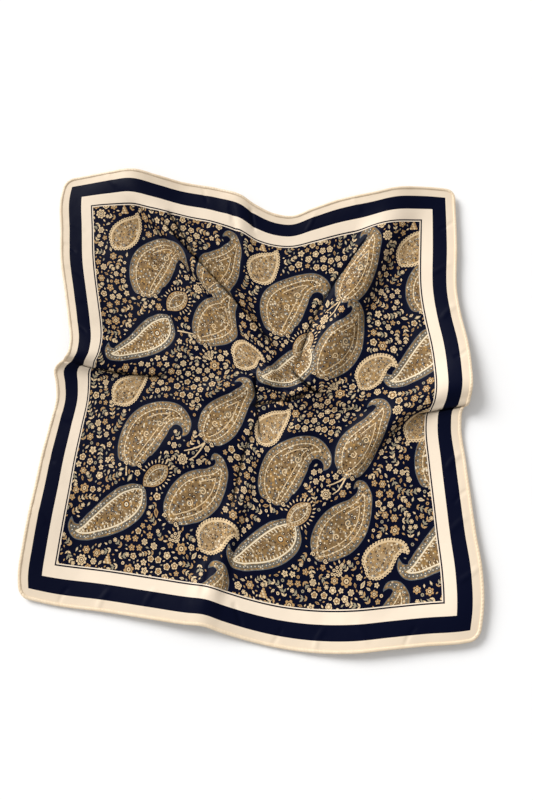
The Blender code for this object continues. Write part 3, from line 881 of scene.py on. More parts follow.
    def __post_init__(self) -> None:
        """Sets out the field as a map of how much room each place has left."""
        self.low = FIELD_INSET - 6.0
        steps = np.arange(self.low, CUT - self.low, self.cell)
        self.xs, self.ys = np.meshgrid(steps, steps)
        self.room = np.full(self.xs.shape, 12.0)
        self.random = random.Random(self.seed)
        self.shapes: list[Shape] = []
        anchors, moves = [], []
        for boteh in self.botehs:
            for row, places in enumerate(boteh.laid):
                for column, place in enumerate(places):
                    anchor = (boteh.x + column * self.width, boteh.y + row * self.height)
                    anchors.append(anchor)
                    moves.append(np.subtract(place, anchor))
        self.anchors, self.moves = np.array(anchors, float), np.array(moves, float)

    # ---- room

    def _window(self, low: Sequence[float], high: Sequence[float]) -> tuple[slice, slice]:
        """The part of the map that a box and its surroundings cover.

        Args:
            low: the box's least place across and down.
            high: its greatest.

        Returns:
            The rows and the columns of the map.
        """
        first = [max(0, int((v - self.reach - self.low) / self.cell)) for v in low]
        last = [max(0, int((v + self.reach - self.low) / self.cell) + 2) for v in high]
        return slice(first[1], last[1]), slice(first[0], last[0])

    def _take_disc(self, x: float, y: float, radius: float) -> None:
        """Marks a disc as taken.

        Args:
            x: how far across its middle is.
            y: how far down its middle is.
            radius: its radius, in millimetres.
        """
        part = self._window((x - radius, y - radius), (x + radius, y + radius))
        away = np.hypot(self.xs[part] - x, self.ys[part] - y) - radius
        self.room[part] = np.minimum(self.room[part], away)

    def _take_outline(self, loop: Array) -> None:
        """Marks the inside of a loop as taken.

        Args:
            loop: the closed loop's points.
        """
        part = self._window(loop.min(axis=0), loop.max(axis=0))
        px, py = self.xs[part], self.ys[part]
        nearest = np.full(px.shape, 1e9)
        inside = np.zeros(px.shape, bool)
        for (ax, ay), (bx, by) in zip(loop, np.roll(loop, -1, axis=0)):
            ex, ey = bx - ax, by - ay
            t = np.clip(((px - ax) * ex + (py - ay) * ey) / max(ex * ex + ey * ey, 1e-9), 0, 1)
            nearest = np.minimum(nearest, np.hypot(px - ax - t * ex, py - ay - t * ey))
            crosses = (ay > py) != (by > py)
            with np.errstate(divide="ignore", invalid="ignore"):
                inside ^= crosses & (px < ex * (py - ay) / (by - ay) + ax)
        self.room[part] = np.minimum(self.room[part], np.where(inside, -nearest, nearest))

    def _room_at(self, x: float, y: float) -> float:
        """How much room the place (x, y) has.

        Args:
            x: how far across it is.
            y: how far down it is.

        Returns:
            The room, in millimetres, or -1 outside the map.
        """
        row, column = (int(round((v - self.low) / self.cell)) for v in (y, x))
        if 0 <= row < self.room.shape[0] and 0 <= column < self.room.shape[1]:
            return float(self.room[row, column])
        return -1.0

    # ---- small motifs

    def _add(self, points: Array, ink: Ink) -> None:
        """Lays one more shape over those before it."""
        self.shapes.append(Shape(points, ink))

    def _discs(self, x: float, y: float, r: float, turn: float, *rows: tuple[float, int, Ink]) -> None:
        """Lays discs one over the other: each a share of r, with its corners and its ink."""
        for share, count, ink in rows:
            self._add(ring(x, y, share * r, count, turn), ink)

    def _rosette(self, x: float, y: float, r: float, turn: float) -> None:
        """A round flower: scalloped rim, dark ring, light ring and a gold heart with a seed.

        Args:
            x: how far across the cloth it is drawn.
            y: how far down the cloth it is drawn.
            r: its radius, in millimetres.
            turn: the direction it points in, in radians.
        """
        self._add(scalloped(x, y, r, 8 if r > 5 else 6, 0.26, turn), Ink.PALE)
        self._discs(x, y, r, turn, (0.66, 8, Ink.UMBER), (0.53, 8, Ink.PALE))
        if r > 2.7:
            self._discs(x, y, r, turn, (0.35, 6, Ink.BROWN), (0.17, 5, Ink.MILK))

    def _rose(self, x: float, y: float, r: float, turn: float) -> None:
        """A rose: five round petals, a dark ring and a pale heart.

        Args:
            x: how far across the cloth it is drawn.
            y: how far down the cloth it is drawn.
            r: its radius, in millimetres.
            turn: the direction it points in, in radians.
        """
        self._add(scalloped(x, y, r, 5, 0.24, turn), Ink.PALE)
        inner = self.random.choice((Ink.TAN, Ink.PALE, Ink.TAN))
        heart = self.random.choice((Ink.MILK, Ink.BROWN))
        self._discs(x, y, r, turn, (0.66, 7, Ink.UMBER), (0.52, 6, inner), (0.22, 4, heart))

    def _flower(self, x: float, y: float, r: float, turn: float) -> None:
        """A small flower with a dark eye."""
        self._add(scalloped(x, y, r, 5, 0.4, turn), self.random.choice((Ink.TAN, Ink.PALE)))
        self._discs(x, y, r, turn, (0.42, 6, Ink.UMBER), (0.24, 5, Ink.PALE))

    def _daisy(self, x: float, y: float, r: float, turn: float) -> None:
        """A tan flower with a wide brown heart and a seed.

        Args:
            x: how far across the cloth it is drawn.
            y: how far down the cloth it is drawn.
            r: its radius, in millimetres.
            turn: the direction it points in, in radians.
        """
        self._add(scalloped(x, y, r, 6, 0.3, turn), Ink.TAN)
        self._discs(x, y, r, turn + 0.5, (0.58, 7, Ink.UMBER))
        self._discs(x, y, r, turn, (0.43, 6, Ink.PALE), (0.2, 5, Ink.BROWN))

    def _comb(self, x: float, y: float, r: float, turn: float) -> None:
        """A fan of berries in rows, with leaves at its rim, on a short stalk.

        Args:
            x: how far across the cloth it is drawn.
            y: how far down the cloth it is drawn.
            r: its radius, in millimetres.
            turn: the direction it points in, in radians.
        """
        self._add(ribbon(np.array([(x, y), stepped(x, y, 0.3 * r, turn)]), 0.9), Ink.PALE)
        for reach, count, spread in ((0.36, 2, 0.62), (0.60, 3, 0.50), (0.84, 4, 0.38), (1.02, 6, 0.33)):
            for k in range(count):
                angle = turn + (k - (count - 1) / 2) * spread
                place = stepped(x, y, reach * r, angle)
                if count == 6:
                    self._add(leaf(*place, angle, 4.8, 2.3), Ink.TAN if k % 2 else Ink.PALE)
                else:
                    self._add(ring(*place, 1.85, 6, angle), Ink.PALE)
                    self._add(ring(*place, 0.85, 5, angle), Ink.UMBER)

    def _cone(self, x: float, y: float, r: float, turn: float) -> None:
        """A little cone of scales, wide below and pointed above.

        Args:
            x: how far across the cloth it is drawn.
            y: how far down the cloth it is drawn.
            r: its radius, in millimetres.
            turn: left aside, since a cone stands upright.
        """
        for row, count in enumerate((1, 2, 3, 4)):
            for k in range(count):
                px = x + (k - (count - 1) / 2) * 0.42 * r
                py = y + (row - 1.7) * 0.48 * r
                self._add(ring(px, py, 0.27 * r, 6, 0.3), Ink.PALE if (row + k) % 2 else Ink.TAN)

    def _leaf(self, x: float, y: float, r: float, turn: float) -> None:
        """A leaf, paler at its rim.

        Args:
            x: how far across the cloth it is drawn.
            y: how far down the cloth it is drawn.
            r: its radius, in millimetres.
            turn: the direction it points in, in radians.
        """
        dx, dy = r * math.cos(turn), r * math.sin(turn)
        rim, inside = self.random.choice(((Ink.PALE, Ink.GREY), (Ink.TAN, Ink.BROWN), (Ink.GREY, Ink.PALE)))
        self._add(leaf(x - dx, y - dy, turn, 2 * r, 1.0 * r), rim)
        if r > 2.4:
            self._add(leaf(x - 0.7 * dx, y - 0.7 * dy, turn, 1.4 * r, 0.5 * r), inside)

    def _dot(self, x: float, y: float, r: float, turn: float) -> None:
        """A berry, or a tiny leaf where there is less room.

        Args:
            x: how far across the cloth it is drawn.
            y: how far down the cloth it is drawn.
            r: its radius, in millimetres.
            turn: the direction it points in, in radians.
        """
        ink = self.random.choice((Ink.PALE, Ink.TAN, Ink.GREY, Ink.TAN))
        if r > 1.8:
            self._discs(x, y, r, turn, (0.9, 6, ink), (0.42, 4, Ink.UMBER))
        else:
            self._add(leaf(*stepped(x, y, -r, turn), turn, 2.1 * r, 1.2 * r), ink)

    def _place_motif(self, motif: Motif) -> None:
        """Draws a small motif and takes its room.

        Args:
            motif: the motif.
        """
        kind, x, y, radius, turn = motif
        draw = {
            Kind.ROSETTE: self._rosette, Kind.ROSE: self._rose, Kind.FLOWER: self._flower,
            Kind.DAISY: self._daisy, Kind.COMB: self._comb, Kind.CONE: self._cone,
            Kind.LEAF: self._leaf, Kind.DOT: self._dot,
        }[kind]
        draw(x, y, radius, turn or self.random.uniform(0.1, 6.2))
        if kind is Kind.COMB:
            for reach in (0.35, 0.72, 1.05):
                self._take_disc(*stepped(x, y, reach * radius, turn), 1.0 + 6.5 * reach)
        elif kind is Kind.LEAF:
            for share in (-0.5, 0.0, 0.5):
                self._take_disc(*stepped(x, y, share * radius, turn), 0.48 * radius)
        else:
            self._take_disc(x, y, radius)

    # ---- sprays and filling

    def _grow_sprays(self, tries: int, steps: int, length: float) -> None:
        """Curved stems with leaves on both hands and a bud, wherever a corridor is free.

        Args:
            tries: how many places are tried.
            steps: the longest stem, in pairs of leaves.
            length: the leaves' length.
        """
        corridor = 0.64 * length
        for _ in range(tries):
            x = self.random.uniform(FIELD_INSET, CUT - FIELD_INSET)
            y = self.random.uniform(FIELD_INSET, CUT - FIELD_INSET)
            if self._room_at(x, y) < corridor:
                continue
            turn, bend = self.random.uniform(0, 2 * math.pi), self.random.uniform(-0.34, 0.34)
            line = [(x, y)]
            while len(line) < steps:
                turn += bend
                x, y = stepped(x, y, 0.78 * length, turn)
                if self._room_at(x, y) < 0.86 * corridor:
                    break
                line.append((x, y))
            if len(line) < 3:
                continue
            stem = np.array(line)
            self._add(ribbon(stem, 0.7), Ink.GREY)
            way = np.gradient(stem, axis=0)
            inks = self.random.choice(((Ink.GREY, Ink.PALE), (Ink.PALE, Ink.TAN), (Ink.GREY, Ink.TAN)))
            for k in range(len(stem) - 1):
                for hand in (-1, 1):
                    angle = math.atan2(way[k, 1], way[k, 0]) + hand * self.random.uniform(0.6, 0.95)
                    size = length * self.random.uniform(0.72, 1.0)
                    self._add(leaf(*stem[k], angle, size, 0.46 * size), inks[(k + hand) % 2])
            for point in stem:
                self._take_disc(*point, 0.62 * length)
            self._rosette(*(stem[-1] + 0.3 * (stem[-1] - stem[-2])), 0.42 * length, turn)

    def _fill(self, kinds: Sequence[Kind], radius: float, most: int) -> None:
        """Packs motifs of one size into the room that is left, each close to its neighbours.

        Args:
            kinds: what may be placed.
            radius: the motifs' radius.
            most: how many are placed at most.
        """
        need, placed = radius + self.gap, 0
        for slack in (self.cell, 2 * self.cell, 20.0):
            cells = np.argwhere((self.room >= need) & (self.room < need + slack)).tolist()
            self.random.shuffle(cells)
            for row, column in cells:
                if placed == most or self.room[row, column] < need:
                    continue
                x, y = float(self.xs[row, column]), float(self.ys[row, column])
                turn = self.random.uniform(0.1, 6.2)
                self._place_motif(Motif(self.random.choice(kinds), x, y, radius, turn))
                placed += 1
        LOG.info("%d small motifs of %s mm", placed, radius)

    # ---- botehs

    def _contours(self, boteh: Boteh, place: Pair, *rows: tuple[float, Ink]) -> None:
        """Fills a boteh in each ink from its inset inwards."""
        for inset, ink in rows:
            self._add(boteh.outline(place, inset), ink)

    def _florets(self, contour: Array, radius: float, ink: Ink, eye: Ink) -> None:
        """A row of round florets along a contour.

        Args:
            contour: the contour's points.
            radius: the florets' radius.
            ink: their ink.
            eye: the ink of their eyes.
        """
        for x, y in contour:
            self._add(ring(x, y, radius, 6, 0.4 * x), ink)
            self._add(ring(x, y, 0.45 * radius, 4, 0.4 * y), eye)

    def _curl(self, x: float, y: float, radius: float, turn: float, ink: Ink) -> None:
        """A spiral curl.

        Args:
            x: how far across the cloth it is drawn.
            y: how far down the cloth it is drawn.
            radius: its radius, in millimetres.
            turn: the direction it points in, in radians.
            ink: its ink.
        """
        t = np.linspace(0, 1, 15)
        line = polar(x, y, radius * (1 - 0.82 * t), turn + t * 8.2)
        self._add(ribbon(line, np.linspace(1.25, 0.9, len(line))), ink)

    def _heart(self, boteh: Boteh, place: Pair, inset: float, spacing: float) -> None:
        """Small florets and seeds packed inside a boteh's inner contour.

        Args:
            boteh: the boteh.
            place: where its middle lies on the flat cloth.
            inset: how far inside its outline the contour is.
            spacing: the least distance between two of them.
        """
        loop = boteh.outline(place, inset, 3.0)
        if not len(loop):
            return
        low, high = loop.min(axis=0), loop.max(axis=0)
        ahead = np.roll(loop, -1, axis=0)
        placed: list[Pair] = []
        spiral = (place[0] + boteh.spiral[0], place[1] + boteh.spiral[1])
        for _ in range(self.heart_tries):
            x, y = self.random.uniform(low[0], high[0]), self.random.uniform(low[1], high[1])
            if any(math.hypot(x - px, y - py) < spacing for px, py in placed):
                continue
            crosses = (loop[:, 1] > y) != (ahead[:, 1] > y)
            rise = np.where(crosses, ahead[:, 1] - loop[:, 1], 1.0)
            at = (ahead[:, 0] - loop[:, 0]) * (y - loop[:, 1]) / rise + loop[:, 0]
            near_spiral = boteh.spiral != (0.0, 0.0) and math.hypot(x - spiral[0], y - spiral[1]) < 6
            if (crosses & (x < at)).sum() % 2 and not near_spiral:
                placed.append((x, y))
        for k, (x, y) in enumerate(placed):
            size, ink, eye = (
                (0.42, Ink.UMBER, Ink.MILK), (0.24, Ink.MILK, None), (0.42, Ink.BROWN, Ink.PALE),
                (0.24, Ink.UMBER, None), (0.36, Ink.SLATE, Ink.MILK), (0.27, Ink.PALE, None),
            )[k % 6]
            self._add(ring(x, y, size * spacing, 6 if eye else 4, x), ink)
            if eye:
                self._add(ring(x, y, 0.19 * spacing, 4, y), eye)

    def _draw_grand(self, boteh: Boteh, place: Pair) -> None:
        """Grey rim, gold band of florets, light contours, a dense heart with curls, and curled lips.

        Args:
            boteh: the boteh.
            place: where the boteh's middle lies on the flat cloth.
        """
        rows = (0.0, Ink.SLATE), (0.8, Ink.GOLD_SPECKLE), (2.6, Ink.GREY_SPECKLE)
        self._contours(boteh, place, *rows)
        self._florets(boteh.outline(place, 3.9, 6.4), 1.7, Ink.SLATE, Ink.MILK)
        self._florets(boteh.outline(place, 6.6, 4.6), 1.5, Ink.TAN, Ink.UMBER)
        self._contours(boteh, place, (9.0, Ink.PALE), (9.9, Ink.GOLD_SPECKLE))
        for k, (x, y) in enumerate(boteh.outline(place, 9.4, 5.2)):
            self._add(ring(x, y, 0.9 * (1.35 if k % 3 == 0 else 1.0), 5, 0.7 * k), Ink.MILK)
        self._heart(boteh, place, 11.4, 4.5)
        inner = boteh.outline(place, 15.5, 2.8)
        if len(inner) > 14:
            self._add(ribbon(inner[: 2 * len(inner) // 3], 1.0), Ink.PALE)
        x, y = place[0] + boteh.spiral[0], place[1] + boteh.spiral[1]
        turn = self.random.uniform(0.0, 6.2)
        self._add(ring(x, y, 5.2, 9), Ink.GREY_SPECKLE)
        self._curl(x, y, 4.4, turn, Ink.PALE)
        self._curl(x - 15, y + 15, 4.0, turn + 1.8, Ink.PALE)
        self._curl(x + 4, y + 17, 3.4, turn + 3.8, Ink.TAN)
        line = boteh.outline(place, 0.6, 2.0)
        for at, turn in ((4, 0.4), (len(line) - 5, 2.9)):
            self._add(ring(*line[at], 3.3, 9), Ink.NAVY)
            self._curl(*line[at], 2.7, turn, Ink.PALE)

    def _draw_seaweed(self, boteh: Boteh, place: Pair) -> None:
        """Two light contours, spurs between them and a round flower by the head.

        Args:
            boteh: the boteh.
            place: where the boteh's middle lies on the flat cloth.
        """
        rows = (0.0, Ink.SLATE), (0.9, Ink.GOLD_SPECKLE), (2.2, Ink.GREY_SPECKLE)
        self._contours(boteh, place, *rows)
        self._florets(boteh.outline(place, 4.4, 4.4), 1.9, Ink.SLATE, Ink.MILK)
        self._contours(boteh, place, (7.2, Ink.MILK), (8.9, Ink.GOLD_SPECKLE))
        inner, outer = boteh.outline(place, 8.8, 4.2), boteh.outline(place, 11.4, 4.2)
        if len(inner) and len(outer):
            for x, y in inner:
                to = outer[np.argmin(np.hypot(outer[:, 0] - x, outer[:, 1] - y))]
                self._add(leaf(x, y, math.atan2(to[1] - y, to[0] - x), 3.8, 1.5), Ink.MILK)
        self._heart(boteh, place, 12.6, 3.9)
        x, y = place[0] + boteh.spiral[0], place[1] + boteh.spiral[1]
        self._add(scalloped(x, y, 5.2, 8, 0.18, 0.2), Ink.GOLD)
        self._discs(x, y, 1.0, 0.0, (3.6, 9, Ink.UMBER), (2.5, 8, Ink.MILK), (1.2, 6, Ink.GOLD))

    def _draw_lace(self, boteh: Boteh, place: Pair) -> None:
        """A scalloped light edge with dark dots, and a speckled heart.

        Args:
            boteh: the boteh.
            place: where the boteh's middle lies on the flat cloth.
        """
        for x, y in boteh.outline(place, 0.6, 3.5):
            self._add(ring(x, y, 1.9, 6, 0.3 * x), Ink.PALE)
        self._contours(boteh, place, (0.9, Ink.PALE))
        for x, y in boteh.outline(place, 0.7, 3.5):
            self._add(ring(x, y, 0.8, 5, x), Ink.UMBER)
        self._contours(boteh, place, (3.6, Ink.PALE_SPECKLE), (5.4, Ink.PALE_SPECKLE))
        self._heart(boteh, place, 4.6, 3.4)

    def _draw_bud(self, boteh: Boteh, place: Pair) -> None:
        """A bud with a light eye inside and lashes round it.

        Args:
            boteh: the boteh.
            place: where the boteh's middle lies on the flat cloth.
        """
        for x, y in boteh.outline(place, -1.6, 3.9):
            away = np.subtract((x, y), place)
            if away[0] - away[1] > -12.0:
                self._add(leaf(x, y, math.atan2(away[1], away[0]), 4.6, 1.8), Ink.PALE)
        self._contours(boteh, place, (0.0, Ink.TAN), (1.0, Ink.GOLD_SPECKLE))
        self._florets(boteh.outline(place, 2.8, 3.6), 1.2, Ink.PALE, Ink.UMBER)
        self._contours(boteh, place, (4.6, Ink.MILK), (5.4, Ink.GOLD_SPECKLE))
        self._heart(boteh, place, 6.0, 2.6)

    # ---- the whole field

    def _moved(self, points: Array) -> Array:
        """Points of the chart where the print has them, which is nowhere quite regular.

        Args:
            points: the points on the flat cloth.

        Returns:
            Their places on this scarf.
        """
        away = ((points[:, None, :] - self.anchors) ** 2).sum(-1)
        weight = np.exp(-away / self.pull**2) + 1e-4
        return points + (weight[..., None] * self.moves).sum(1) / weight.sum(1)[:, None]

    def _lay_chart(self) -> None:
        """Lays the charted flowers, leaves and stalks in every repeat that the field shows."""
        for row in range(3):
            for column in range(-1, 3):
                corner = np.array([column * self.width, row * self.height])
                for points in self.stalks:
                    line = self._moved(np.array(points, float) + corner)
                    if min(self._room_at(x, y) for x, y in line[1:]) > -4.5:
                        self._add(ribbon(line, np.linspace(2.0, 1.0, len(line))), Ink.PALE)
                        for x, y in line:
                            self._take_disc(x, y, 1.2)
                for motif in self.charted:
                    x, y = self._moved(np.array([[motif.x, motif.y]]) + corner)[0]
                    comb = motif.kind is Kind.COMB
                    middle = stepped(x, y, 0.7 * motif.radius if comb else 0.0, motif.turn)
                    if self._room_at(*middle) > (0.36 if comb else 0.72) * motif.radius:
                        self._place_motif(motif._replace(x=x, y=y))

    def lay(self) -> list[Shape]:
        """Draws the whole field.

        Returns:
            The shapes on the flat cloth in the order in which they are printed, some of which reach
            past the field's edge.
        """
        placed = [(boteh, place) for boteh in self.botehs for row in boteh.laid for place in row]
        for boteh, place in placed:
            clear = self.bud_halo if boteh.style is Style.BUD else self.halo
            self._take_outline(boteh.outline(place, -clear, 4.0))
        self._lay_chart()
        self._grow_sprays(5000, 9, 5.8)
        self._fill((Kind.ROSE, Kind.ROSE, Kind.DAISY), 4.4, 60)
        self._fill((Kind.ROSE, Kind.FLOWER, Kind.ROSETTE), 3.6, 90)
        self._grow_sprays(9000, 7, 4.6)
        self._fill((Kind.LEAF, Kind.LEAF, Kind.FLOWER), 3.0, 220)
        self._fill((Kind.LEAF, Kind.DOT), 2.2, 460)
        self._fill((Kind.DOT,), 1.5, 700)
        draw = {
            Style.GRAND: self._draw_grand, Style.SEAWEED: self._draw_seaweed,
            Style.LACE: self._draw_lace, Style.BUD: self._draw_bud,
        }
        for boteh, place in placed:
            draw[boteh.style](boteh, place)
        low, high = FIELD_INSET, CUT - FIELD_INSET
        return [
            shape for shape in self.shapes
            if len(shape.points)
            and (shape.points.max(axis=0) > low).all() and (shape.points.min(axis=0) < high).all()
        ]


# ---------------------------------------------------------------- finishes


Sockets = dict[str | int, object]


def feed(node: bpy.types.Node, sockets: Sockets) -> None:
    """Links each of these inputs to an output, or sets it to a constant.

    Args:
        node: the node.
        sockets: an output or a constant for each input.
    """
    for socket, value in sockets.items():
        if isinstance(value, bpy.types.NodeSocket):
            node.id_data.links.new(value, node.inputs[socket])
        else:
            node.inputs[socket].default_value = value


def added(tree: bpy.types.NodeTree, kind: str, sockets: Sockets, **settings: object) -> bpy.types.Node:
    """Adds a node to a tree.

    Args:
        tree: the node tree.
        kind: the shader node's kind.
        sockets: what goes into its inputs, an output or a constant each.
        settings: its settings, which are made before the inputs.

    Returns:
        The node.
    """
    node = tree.nodes.new(f"ShaderNode{kind}")
    for name, value in settings.items():
        setattr(node, name, value)
    feed(node, sockets)
    return node


class NodeGroups:
    """Shared effects, each built once as a shader node group."""

    @staticmethod
    def _group(
        name: str, inputs: Sequence[tuple[str, str, float]], outputs: Sequence[tuple[str, str]]
    ) -> tuple[bpy.types.NodeTree, bpy.types.Node, bpy.types.Node]:
        """An empty node group with these sockets, and its input and output nodes.

        Args:
            name: the group's name.
            inputs: each input's name, kind and value.
            outputs: each output's name and kind.

        Returns:
            The group, its input node and its output node.
        """
        tree = bpy.data.node_groups.new(name, "ShaderNodeTree")
        for socket, kind, value in inputs:
            made = tree.interface.new_socket(socket, in_out="INPUT", socket_type=kind)
            if kind == "NodeSocketFloat":
                made.default_value = value
        for socket, kind in outputs:
            tree.interface.new_socket(socket, in_out="OUTPUT", socket_type=kind)
        return tree, tree.nodes.new("NodeGroupInput"), tree.nodes.new("NodeGroupOutput")

    @classmethod
    def weave(cls) -> bpy.types.NodeTree:
        """Satin weave: fine slanted floats, uneven threads and soft rumples, as heights.

        Returns:
            The node group.
        """
        tree, given, out = cls._group(
            "satin_weave",
            [("Vector", "NodeSocketVector", 0), ("Pitch", "NodeSocketFloat", 900.0)],
            [("Height", "NodeSocketFloat"), ("Rumple", "NodeSocketFloat"), ("Shade", "NodeSocketFloat")],
        )
        place = {"Vector": given.outputs["Vector"]}
        wave = added(
            tree, "TexWave", {**place, "Scale": given.outputs["Pitch"], "Distortion": 1.4, "Detail": 1.0},
            wave_type="BANDS", bands_direction="DIAGONAL",
        )
        slubs = added(tree, "TexNoise", {**place, "Scale": 420.0, "Detail": 3.0})
        rumple = added(tree, "TexNoise", {**place, "Scale": 38.0, "Detail": 3.5, "Roughness": 0.45})
        shade = added(tree, "TexNoise", {**place, "Scale": 14.0, "Detail": 4.0})
        height = added(
            tree, "Math", {0: wave.outputs["Fac"], 1: 0.5, 2: slubs.outputs["Fac"]},
            operation="MULTIPLY_ADD",
        )
        feed(out, {
            "Height": height.outputs[0], "Rumple": rumple.outputs["Fac"], "Shade": shade.outputs["Fac"],
        })
        return tree

    @classmethod
    def speckle(cls) -> bpy.types.NodeTree:
        """The print's finest filling: seeds of cream, brown and grey on a gold ground.

        Returns:
            The node group.
        """
        tree, given, out = cls._group(
            "print_speckle",
            [("Vector", "NodeSocketVector", 0), ("Ground", "NodeSocketColor", 0)],
            [("Color", "NodeSocketColor")],
        )
        cells = added(tree, "TexVoronoi", {
            "Vector": given.outputs["Vector"], "Scale": 330.0, "Randomness": 0.85,
        })
        pick = added(tree, "SeparateColor", {"Color": cells.outputs["Color"]})
        tint = added(tree, "ValToRGB", {"Fac": pick.outputs["Red"]})
        tint.color_ramp.interpolation = "CONSTANT"
        stops = (
            (0.0, (0.66, 0.53, 0.35)), (0.15, (0.04, 0.027, 0.022)), (0.35, (0.50, 0.29, 0.095)),
            (0.56, (0.12, 0.13, 0.14)), (0.74, (0.15, 0.085, 0.04)), (0.88, (0.82, 0.72, 0.55)),
        )
        for k, (at, colour) in enumerate(stops):
            stop = tint.color_ramp.elements[k] if k < 2 else tint.color_ramp.elements.new(at)
            stop.position, stop.color = at, (*colour, 1.0)
        seed = added(tree, "MapRange", {
            "Value": cells.outputs["Distance"],
            "From Min": 0.34, "From Max": 0.46, "To Min": 0.88, "To Max": 0.1,
        })
        mix = added(tree, "Mix", {
            "Factor": seed.outputs["Result"], "A": given.outputs["Ground"], "B": tint.outputs["Color"],
        }, data_type="RGBA")
        feed(out, {"Color": mix.outputs["Result"]})
        return tree


@dataclass(frozen=True)
class Finish:
    """What the satin and the hem's finishes share: threads that catch the light."""

    name: str
    roughness: float
    weave_depth: float

    def _shader(self) -> tuple[bpy.types.Material, bpy.types.NodeTree, bpy.types.Node]:
        """A new material, its node tree and its shader.

        Returns:
            The material, its node tree and its shader.
        """
        made = bpy.data.materials.new(self.name)
        made.use_nodes = True
        return made, made.node_tree, made.node_tree.nodes["Principled BSDF"]

    def _threads(self, cloth: bpy.types.Node, spread: Pair, under: Sockets) -> Sockets:
        """The threads' gloss and relief.

        Args:
            cloth: the weave's node.
            spread: how far the roughness goes below and above the finish's own.
            under: the relief below the threads, where there is one.

        Returns:
            What goes into the shader's inputs.
        """
        height = cloth.outputs["Height"]
        gloss = added(cloth.id_data, "MapRange", {
            "Value": height, "To Min": self.roughness - spread[0], "To Max": self.roughness + spread[1],
        })
        threads = added(cloth.id_data, "Bump", {
            "Height": height, "Distance": self.weave_depth * MM, "Strength": 1.0, **under,
        })
        return {"Roughness": gloss.outputs["Result"], "Normal": threads.outputs["Normal"]}


@dataclass(frozen=True)
class SatinFinish(Finish):
    """Printed satin: its print and the shade painted beside its creases come from the mesh, its weave and
    sheen from here.
    """

    sheen: float
    fading: float  # how far the print shows through pale, as on the reverse
    rumple_depth: float

    def material(self, weave: bpy.types.NodeTree, speckle: bpy.types.NodeTree) -> bpy.types.Material:
        """Builds the finish.

        Args:
            weave: the weave's node group.
            speckle: the speckle's node group.

        Returns:
            The material.
        """
        made, tree, shader = self._shader()
        place = added(tree, "UVMap", {}, uv_map="OFBake")
        flat = added(tree, "Mapping", {"Vector": place.outputs["UV"], "Scale": (CUT * MM, CUT * MM, 1.0)})
        ink = added(tree, "Attribute", {}, attribute_name="ink")
        cloth = added(tree, "Group", {}, node_tree=weave)
        feed(cloth, {"Vector": flat.outputs["Vector"]})
        seeds = added(tree, "Group", {}, node_tree=speckle)
        feed(seeds, {"Vector": flat.outputs["Vector"], "Ground": ink.outputs["Color"]})
        printed = added(tree, "Mix", {
            "Factor": ink.outputs["Alpha"], "A": seeds.outputs["Color"], "B": ink.outputs["Color"],
        }, data_type="RGBA")
        faded = added(tree, "Mix", {
            "Factor": self.fading, "A": printed.outputs["Result"], "B": (*linear(206, 196, 184), 1.0),
        }, data_type="RGBA")
        uneven = added(tree, "MapRange", {
            "Value": cloth.outputs["Shade"],
            "From Min": 0.3, "From Max": 0.7, "To Min": 0.95, "To Max": 1.03,
        })
        # shade painted beside the tucked creases, which darkens the print's colour
        painted_shade_node = added(tree, "Attribute", {}, attribute_name="painted_shade_share")
        light = added(
            tree, "Math", {0: uneven.outputs["Result"], 1: painted_shade_node.outputs["Fac"]}, operation="MULTIPLY"
        )
        tone = added(
            tree, "VectorMath", {0: faded.outputs["Result"], "Scale": light.outputs["Value"]},
            operation="SCALE",
        )
        rumples = added(tree, "Bump", {
            "Height": cloth.outputs["Rumple"], "Distance": self.rumple_depth * MM, "Strength": 1.0,
        })
        feed(shader, {
            "Base Color": tone.outputs["Vector"], "Sheen Weight": self.sheen, "Sheen Roughness": 0.35,
            "Specular IOR Level": 0.05,
            **self._threads(cloth, (0.05, 0.07), {"Normal": rumples.outputs["Normal"]}),
        })
        return made


@dataclass(frozen=True)
class RollFinish(Finish):
    """The hem's rolled satin, or its sewing thread."""

    colour: tuple[int, int, int]

    def material(self, weave: bpy.types.NodeTree) -> bpy.types.Material:
        """Builds the finish.

        Args:
            weave: the weave's node group.

        Returns:
            The material.
        """
        made, tree, shader = self._shader()
        place = added(tree, "TexCoord", {})
        cloth = added(tree, "Group", {}, node_tree=weave)
        feed(cloth, {"Vector": place.outputs["Object"]})
        tint = added(tree, "ValToRGB", {"Fac": cloth.outputs["Rumple"]})
        red, green, blue = self.colour
        shades = (0.25, (red - 6, green - 9, blue - 14)), (0.75, self.colour)
        for stop, (at, colour) in zip(tint.color_ramp.elements, shades):
            stop.position, stop.color = at, (*linear(*colour), 1.0)
        feed(shader, {
            "Base Color": tint.outputs["Color"], "Sheen Weight": 0.15,
            **self._threads(cloth, (0.06, 0.08), {}),
        })
        return made


# ---------------------------------------------------------------- the pieces


def rounded_square(inset: float, spacing: float) -> Array:
    """A square path on the flat cloth, rounded at its corners, clockwise from the far left.

    Args:
        inset: how far inside the cloth's edge.
        spacing: distance between points.

    Returns:
        The path's points.
    """
    radius = CORNER_RADIUS - inset
    near, far = inset + radius, CUT - inset - radius
    arc = np.linspace(math.pi, 1.5 * math.pi, 7)
    corners = (near, near, 0.0), (far, near, 0.5), (far, far, 1.0), (near, far, 1.5)
    loop = np.concatenate([polar(x, y, radius, arc + turn * math.pi) for x, y, turn in corners])
    return resampled(loop, spacing)


